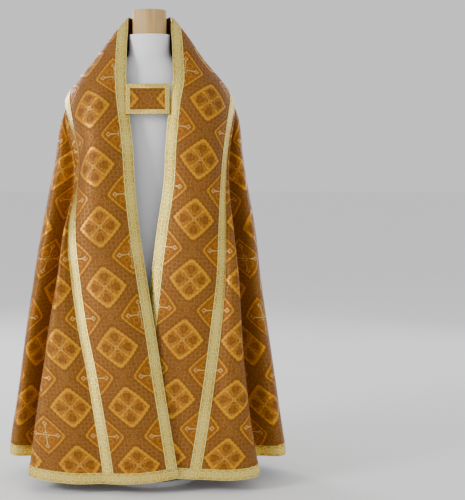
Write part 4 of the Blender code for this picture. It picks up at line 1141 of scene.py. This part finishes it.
# The middle of a leaf beside each arm's bud, as (out, across) from the foot of the bud.
LEAF = ((0.0, 0.003), (0.013, 0.011), (0.020, 0.021), (0.013, 0.029))
ROSETTE, PETALS = 0.026, 8


def turned_from(origin, quarter, spots):
    """Spots given as (out along an arm, across it), on the hood."""
    turn = quarter * math.pi / 2
    cos, sin = math.cos(turn), math.sin(turn)
    return [(origin[0] + o * cos - a * sin, origin[1] + o * sin + a * cos) for o, a in spots]


cross = Needlework()
for quarter, reach in ARMS:
    base = reach - 0.062
    stem = [(k * (base + 0.012), 0.0) for k in (0.0, 0.34, 0.67, 1.0)]
    cross.shape(turned_from(CROSSING, quarter, stem), (0.0065, 0.0062, 0.0058, 0.0052), 0.0017)
    bud = [(base + k, 0.0) for k in (0.008, 0.022, 0.036, 0.050, 0.062)]
    cross.shape(turned_from(CROSSING, quarter, bud), (0.002, 0.0085, 0.0105, 0.0070, 0.0003), 0.0022)
    for hand in (-1, 1):
        leaf = [(base + o, hand * a) for o, a in LEAF]
        cross.shape(turned_from(CROSSING, quarter, leaf), (0.0030, 0.0062, 0.0058, 0.0010), 0.0019)
    knot = [(base - 0.004, k) for k in (-0.010, -0.003, 0.003, 0.010)]
    cross.shape(turned_from(CROSSING, quarter, knot), (0.0015, 0.0036, 0.0036, 0.0015), 0.0026)
for eighth in (0.5, 1.5, 2.5, 3.5):
    spear = [(o, 0.0) for o in (0.004, 0.014, 0.024, 0.034)]
    cross.shape(turned_from(CROSSING, eighth, spear), (0.0015, 0.0048, 0.0040, 0.0003), 0.0016)
cross.piece("cross_embroidery", "cross")
for side, sign in (("left", -1), ("right", 1)):
    rosette = Needlework()
    middle = (sign * 0.080, 0.900)
    for petal in range(PETALS):
        spots = [(ROSETTE * k, 0.0) for k in (0.30, 0.52, 0.76, 1.0)]
        widths = (0.0018, 0.0050, 0.0062, 0.0020)
        rosette.shape(turned_from(middle, petal * 4 / PETALS, spots), widths, 0.0017)
    ring = [(0.0055 * math.cos(t), 0.0055 * math.sin(t)) for t in np.linspace(0, 2 * math.pi, 13)]
    rosette.shape(turned_from(middle, 0, ring), [0.0024] * len(ring), 0.0024)
    rosette.piece(f"rosette_embroidery_{side}", f"rosette_{side}")


# ------------------------------------------------------------------------- buttons and morse
def lathe(name, profile, material, slot, node, origin=(0, 0, 0), axis=(0, 0, 1), sides=48, squash=1.0):
    """A turned piece: a profile of (radius, height) spun round an axis, closed at both ends."""
    turn = Vector(axis).to_track_quat("Z", "Y")
    verts = []
    for radius, height in profile:
        for k in range(sides):
            a = 2 * math.pi * k / sides
            spot = Vector((radius * math.cos(a), radius * math.sin(a) * squash, height))
            verts.append(Vector(origin) + turn @ spot)
    arc = 2 * math.pi * max(radius for radius, _ in profile) / sides
    faces, cuts = wrapped(0, sides, lengths(np.array(profile)), arc)
    return place(finished(name, verts, faces, cuts, (material,), smooth=35), slot, node)


def tube(name, line, radius, material, slot, sides=8):
    """A closed-ended cord along a line of points."""
    line = np.array(line)
    ahead = unit(np.gradient(line, axis=0))
    side = unit(np.cross(ahead, np.array([0.13, 0.21, 0.97])))
    up = np.cross(side, ahead)
    turns = np.arange(sides) * 2 * math.pi / sides
    verts = []
    for p, s, w in zip(line, side, up):
        verts += [p + radius * (s * math.cos(a) + w * math.sin(a)) for a in turns]
    faces, cuts = wrapped(0, sides, lengths(line))
    return place(finished(name, verts, faces, cuts, (material,), smooth=80), slot)


BUTTON, BUTTON_DEPTH, BUTTON_BELOW = 0.0095, 0.0040, 0.006
# Sections that the buttons on each side are at, the loop's half width, fall and cord, and how far
# behind the button's middle it lies.
BUTTON_AT = (1.93, 4.35)
LOOP_WIDE, LOOP_FALL, LOOP_CORD, LOOP_BEHIND = 0.0104, 0.0128, 0.0008, 0.0012
number = 0
for half, stops in ((left, BUTTON_AT[::-1]), (right, (0.0,) + BUTTON_AT)):
    for at in stops:
        number += 1
        outer = half.sections[:, 2]
        ahead = (spline(outer, [at + 0.05]) - spline(outer, [max(at - 0.05, 0.0)]))[0]
        facing = unit(np.array([-ahead[1], ahead[0], 0.0]) * half.side)
        spot = spline(outer, [at])[0] - np.array([0.0, 0.0, BUTTON_BELOW])
        rise = BUTTON_DEPTH + TRIM + 2 * SEAM
        turns = np.linspace(-0.46 * math.pi, 0.46 * math.pi, 16)
        profile = [(BUTTON * math.cos(a) ** 0.8, BUTTON_DEPTH * math.sin(a)) for a in turns]
        centre = spot + facing * rise
        lathe(f"button_ball_{number}", profile, COVERED, "button_cloth", f"button_{number}", centre, facing)
        beside = unit(np.cross(facing, np.array([0.0, 0.0, 1.0])))
        turns = np.linspace(0.10 * math.pi, 0.90 * math.pi, 24) + math.pi
        ring = [
            centre - facing * LOOP_BEHIND + beside * LOOP_WIDE * math.cos(a)
            + np.array([0, 0, LOOP_FALL * math.sin(a)])
            for a in turns
        ]
        tube(f"button_loop_{number}", ring, LOOP_CORD, GOLD, "galloon")

MORSE_LEFT, MORSE_RIGHT, MORSE_LOW, MORSE_HIGH = -0.073, 0.061, 1.149, 1.242
MORSE_Y, MORSE_LEAN, MORSE_THICK, MORSE_FRAME = -0.1055, 0.2366, 0.0030, 0.014
MORSE_RISE = MORSE_HIGH - MORSE_LOW
facing = unit(np.array([0.0, -1.0, MORSE_LEAN]))


def on_morse(x, up):
    """A point of the morse's back face."""
    return np.array([x, MORSE_Y - (MORSE_RISE - up) * MORSE_LEAN, MORSE_LOW + up])


def swell(x, up):
    """How far the padded face stands out."""
    across = (2 * x - MORSE_LEFT - MORSE_RIGHT) / (MORSE_RIGHT - MORSE_LEFT)
    upward = 2 * up / MORSE_RISE - 1
    return 0.0014 * max(1 - across**4, 0.0) * max(1 - upward**4, 0.0)


xs, ups = np.linspace(MORSE_LEFT, MORSE_RIGHT, 32), np.linspace(MORSE_RISE, 0.0, 24)
grid = np.array([[on_morse(x, up) for x in xs] for up in ups])
bulge = np.array([[MORSE_THICK + swell(x, up) for x in xs] for up in ups])
middle = (MORSE_LEFT + MORSE_RIGHT) / 2
weave = np.array([[(x - middle + REPEAT / 2, up - MORSE_RISE / 2) for x in xs] for up in ups])
out = np.broadcast_to(facing, grid.shape)
thing = shell("morse_pad", grid, out, 0.0, bulge, weave, (BROCADE, LINING))
place(thing, "brocade", "morse")
corners = ((MORSE_LEFT, 0.0), (MORSE_RIGHT, 0.0), (MORSE_RIGHT, MORSE_RISE), (MORSE_LEFT, MORSE_RISE))
inner = [(x - math.copysign(MORSE_FRAME, x), abs(up - MORSE_FRAME)) for x, up in corners]
inner = [(x, min(up, MORSE_RISE - MORSE_FRAME)) for x, up in inner]
sides = []
for k, name in enumerate(("low", "right", "high", "left")):
    n = (k + 1) % 4
    along = np.linspace(0.0, 1.0, 30)[:, None]
    edge = np.array(corners[k]) * (1 - along) + np.array(corners[n]) * along
    nearer = np.array(inner[k]) * (1 - along) + np.array(inner[n]) * along
    shares = np.linspace(0.0, 1.0, 5)
    spots = edge[:, None] + (nearer - edge)[:, None] * shares[None, :, None]
    grid = np.array([[on_morse(*spot) + facing * swell(*spot) for spot in row] for row in spots])
    low = MORSE_THICK + SEAM
    out = np.broadcast_to(facing, grid.shape)
    high = crowned(5, low + TRIM, 0.0003)
    thing = shell(f"morse_braid_{name}", grid, out, low, high, band_cut(grid), (GOLD,))
    place(thing, "galloon", "morse_galloon")

# -------------------------------------------------------------------------------------- form
# Level ovals: height, half width, half depth, middle.
TORSO = (
    (0.520, 0.166, 0.108, 0.000), (0.620, 0.168, 0.112, 0.000), (0.760, 0.158, 0.106, 0.000),
    (0.900, 0.142, 0.096, 0.000), (1.020, 0.148, 0.096, 0.002), (1.120, 0.158, 0.098, 0.006),
    (1.200, 0.160, 0.094, 0.012), (1.258, 0.148, 0.080, 0.016), (1.296, 0.118, 0.064, 0.014),
    (1.322, 0.084, 0.056, 0.006), (1.342, 0.066, 0.054, 0.000), (1.400, 0.064, 0.053, 0.000),
)
SIDES, GIRTH = 96, 0.9
ovals = spline(np.array(TORSO), np.linspace(0, len(TORSO) - 1, 90))
verts = []
for height, width, depth, centre in ovals:
    turns = np.arange(SIDES) * 2 * math.pi / SIDES
    verts += [(width * math.cos(a), centre + depth * math.sin(a), height) for a in turns]
faces, cuts = wrapped(0, SIDES, ovals[:, 0], GIRTH / SIDES)
place(finished("torso_cover", verts, faces, cuts, (JERSEY,)), "form_cover", "torso")


def rounded(radius, low, high, edge):
    """The profile of a disc with rounded rims."""
    steps = np.linspace(0, math.pi / 2, 7)
    under = [(radius - edge + edge * math.sin(a), low + edge - edge * math.cos(a)) for a in steps]
    over = [(radius - edge + edge * math.cos(a), high - edge + edge * math.sin(a)) for a in steps]
    return [(radius * 0.3, low)] + under + over + [(radius * 0.3, high)]


block = lathe(
    "neck_wood", rounded(0.053, 1.4003, 1.476, 0.004), WOOD, "wood", "neck_block", sides=192, squash=0.94
)
JOINT_HALF, JOINT_DEPTH = 0.0010, 0.0012
for vertex in block.data.vertices:
    if abs(vertex.co.x) < JOINT_HALF and math.hypot(vertex.co.x, vertex.co.y) > 0.03:
        vertex.co.y -= math.copysign(JOINT_DEPTH, vertex.co.y)
lathe("stand_post", rounded(0.016, 0.0183, 0.5197, 0.001), PAINT, "painted_metal", "post")
lathe("stand_foot", rounded(0.160, 0.0, 0.018, 0.003), PAINT, "painted_metal", "foot", sides=96)

# ------------------------------------------------------------------------------ stage, light
floor_mesh = bpy.data.meshes.new("floor")
floor_mesh.from_pydata([(-30, -30, 0), (30, -30, 0), (30, 30, 0), (-30, 30, 0)], [], [(0, 1, 2, 3)])
floor = bpy.data.objects.new("floor", floor_mesh)
bpy.context.scene.collection.objects.link(floor)
pale = Shader("floor_paper")
pale.finish(pale.mix((0.93, 0.93, 0.93, 1.0), (0.91, 0.91, 0.91, 1.0), pale.speckle(pale.solid(), 2.0)), 0.9)
floor_mesh.materials.append(pale.material)

world = bpy.data.worlds.new("studio")
world.use_nodes = True
world.node_tree.nodes["Background"].inputs[0].default_value = (1.0, 1.0, 1.0, 1.0)
world.node_tree.nodes["Background"].inputs[1].default_value = 0.84
bpy.context.scene.world = world

# Soft boxes: place, size, power.
LIGHTS = (
    ((-3.0, -2.1, 2.0), 1.1, 98.0),
    ((0.6, -3.6, 1.3), 1.4, 4.0),
    ((-1.8, 2.7, 2.1), 1.2, 54.0),
    ((2.2, 2.6, 1.6), 1.6, 16.0),
)
for number, (spot, size, power) in enumerate(LIGHTS):
    data = bpy.data.lights.new(f"soft_box_{number}", "AREA")
    data.size, data.energy = size, power
    lamp = bpy.data.objects.new(data.name, data)
    lamp.location = spot
    lamp.rotation_euler = (Vector((0.0, 0.0, 0.8)) - Vector(spot)).to_track_quat("-Z", "Y").to_euler()
    bpy.context.scene.collection.objects.link(lamp)

lens = bpy.data.cameras.new("camera")
lens.lens, lens.sensor_width, lens.shift_x = 81.8, 36.0, 0.166
camera = bpy.data.objects.new("camera", lens)
camera.location = (0.0, -3.6, 1.02)
camera.rotation_euler = (math.radians(90 - 4.68), 0.0, 0.0)
bpy.context.scene.collection.objects.link(camera)
bpy.context.scene.camera = camera
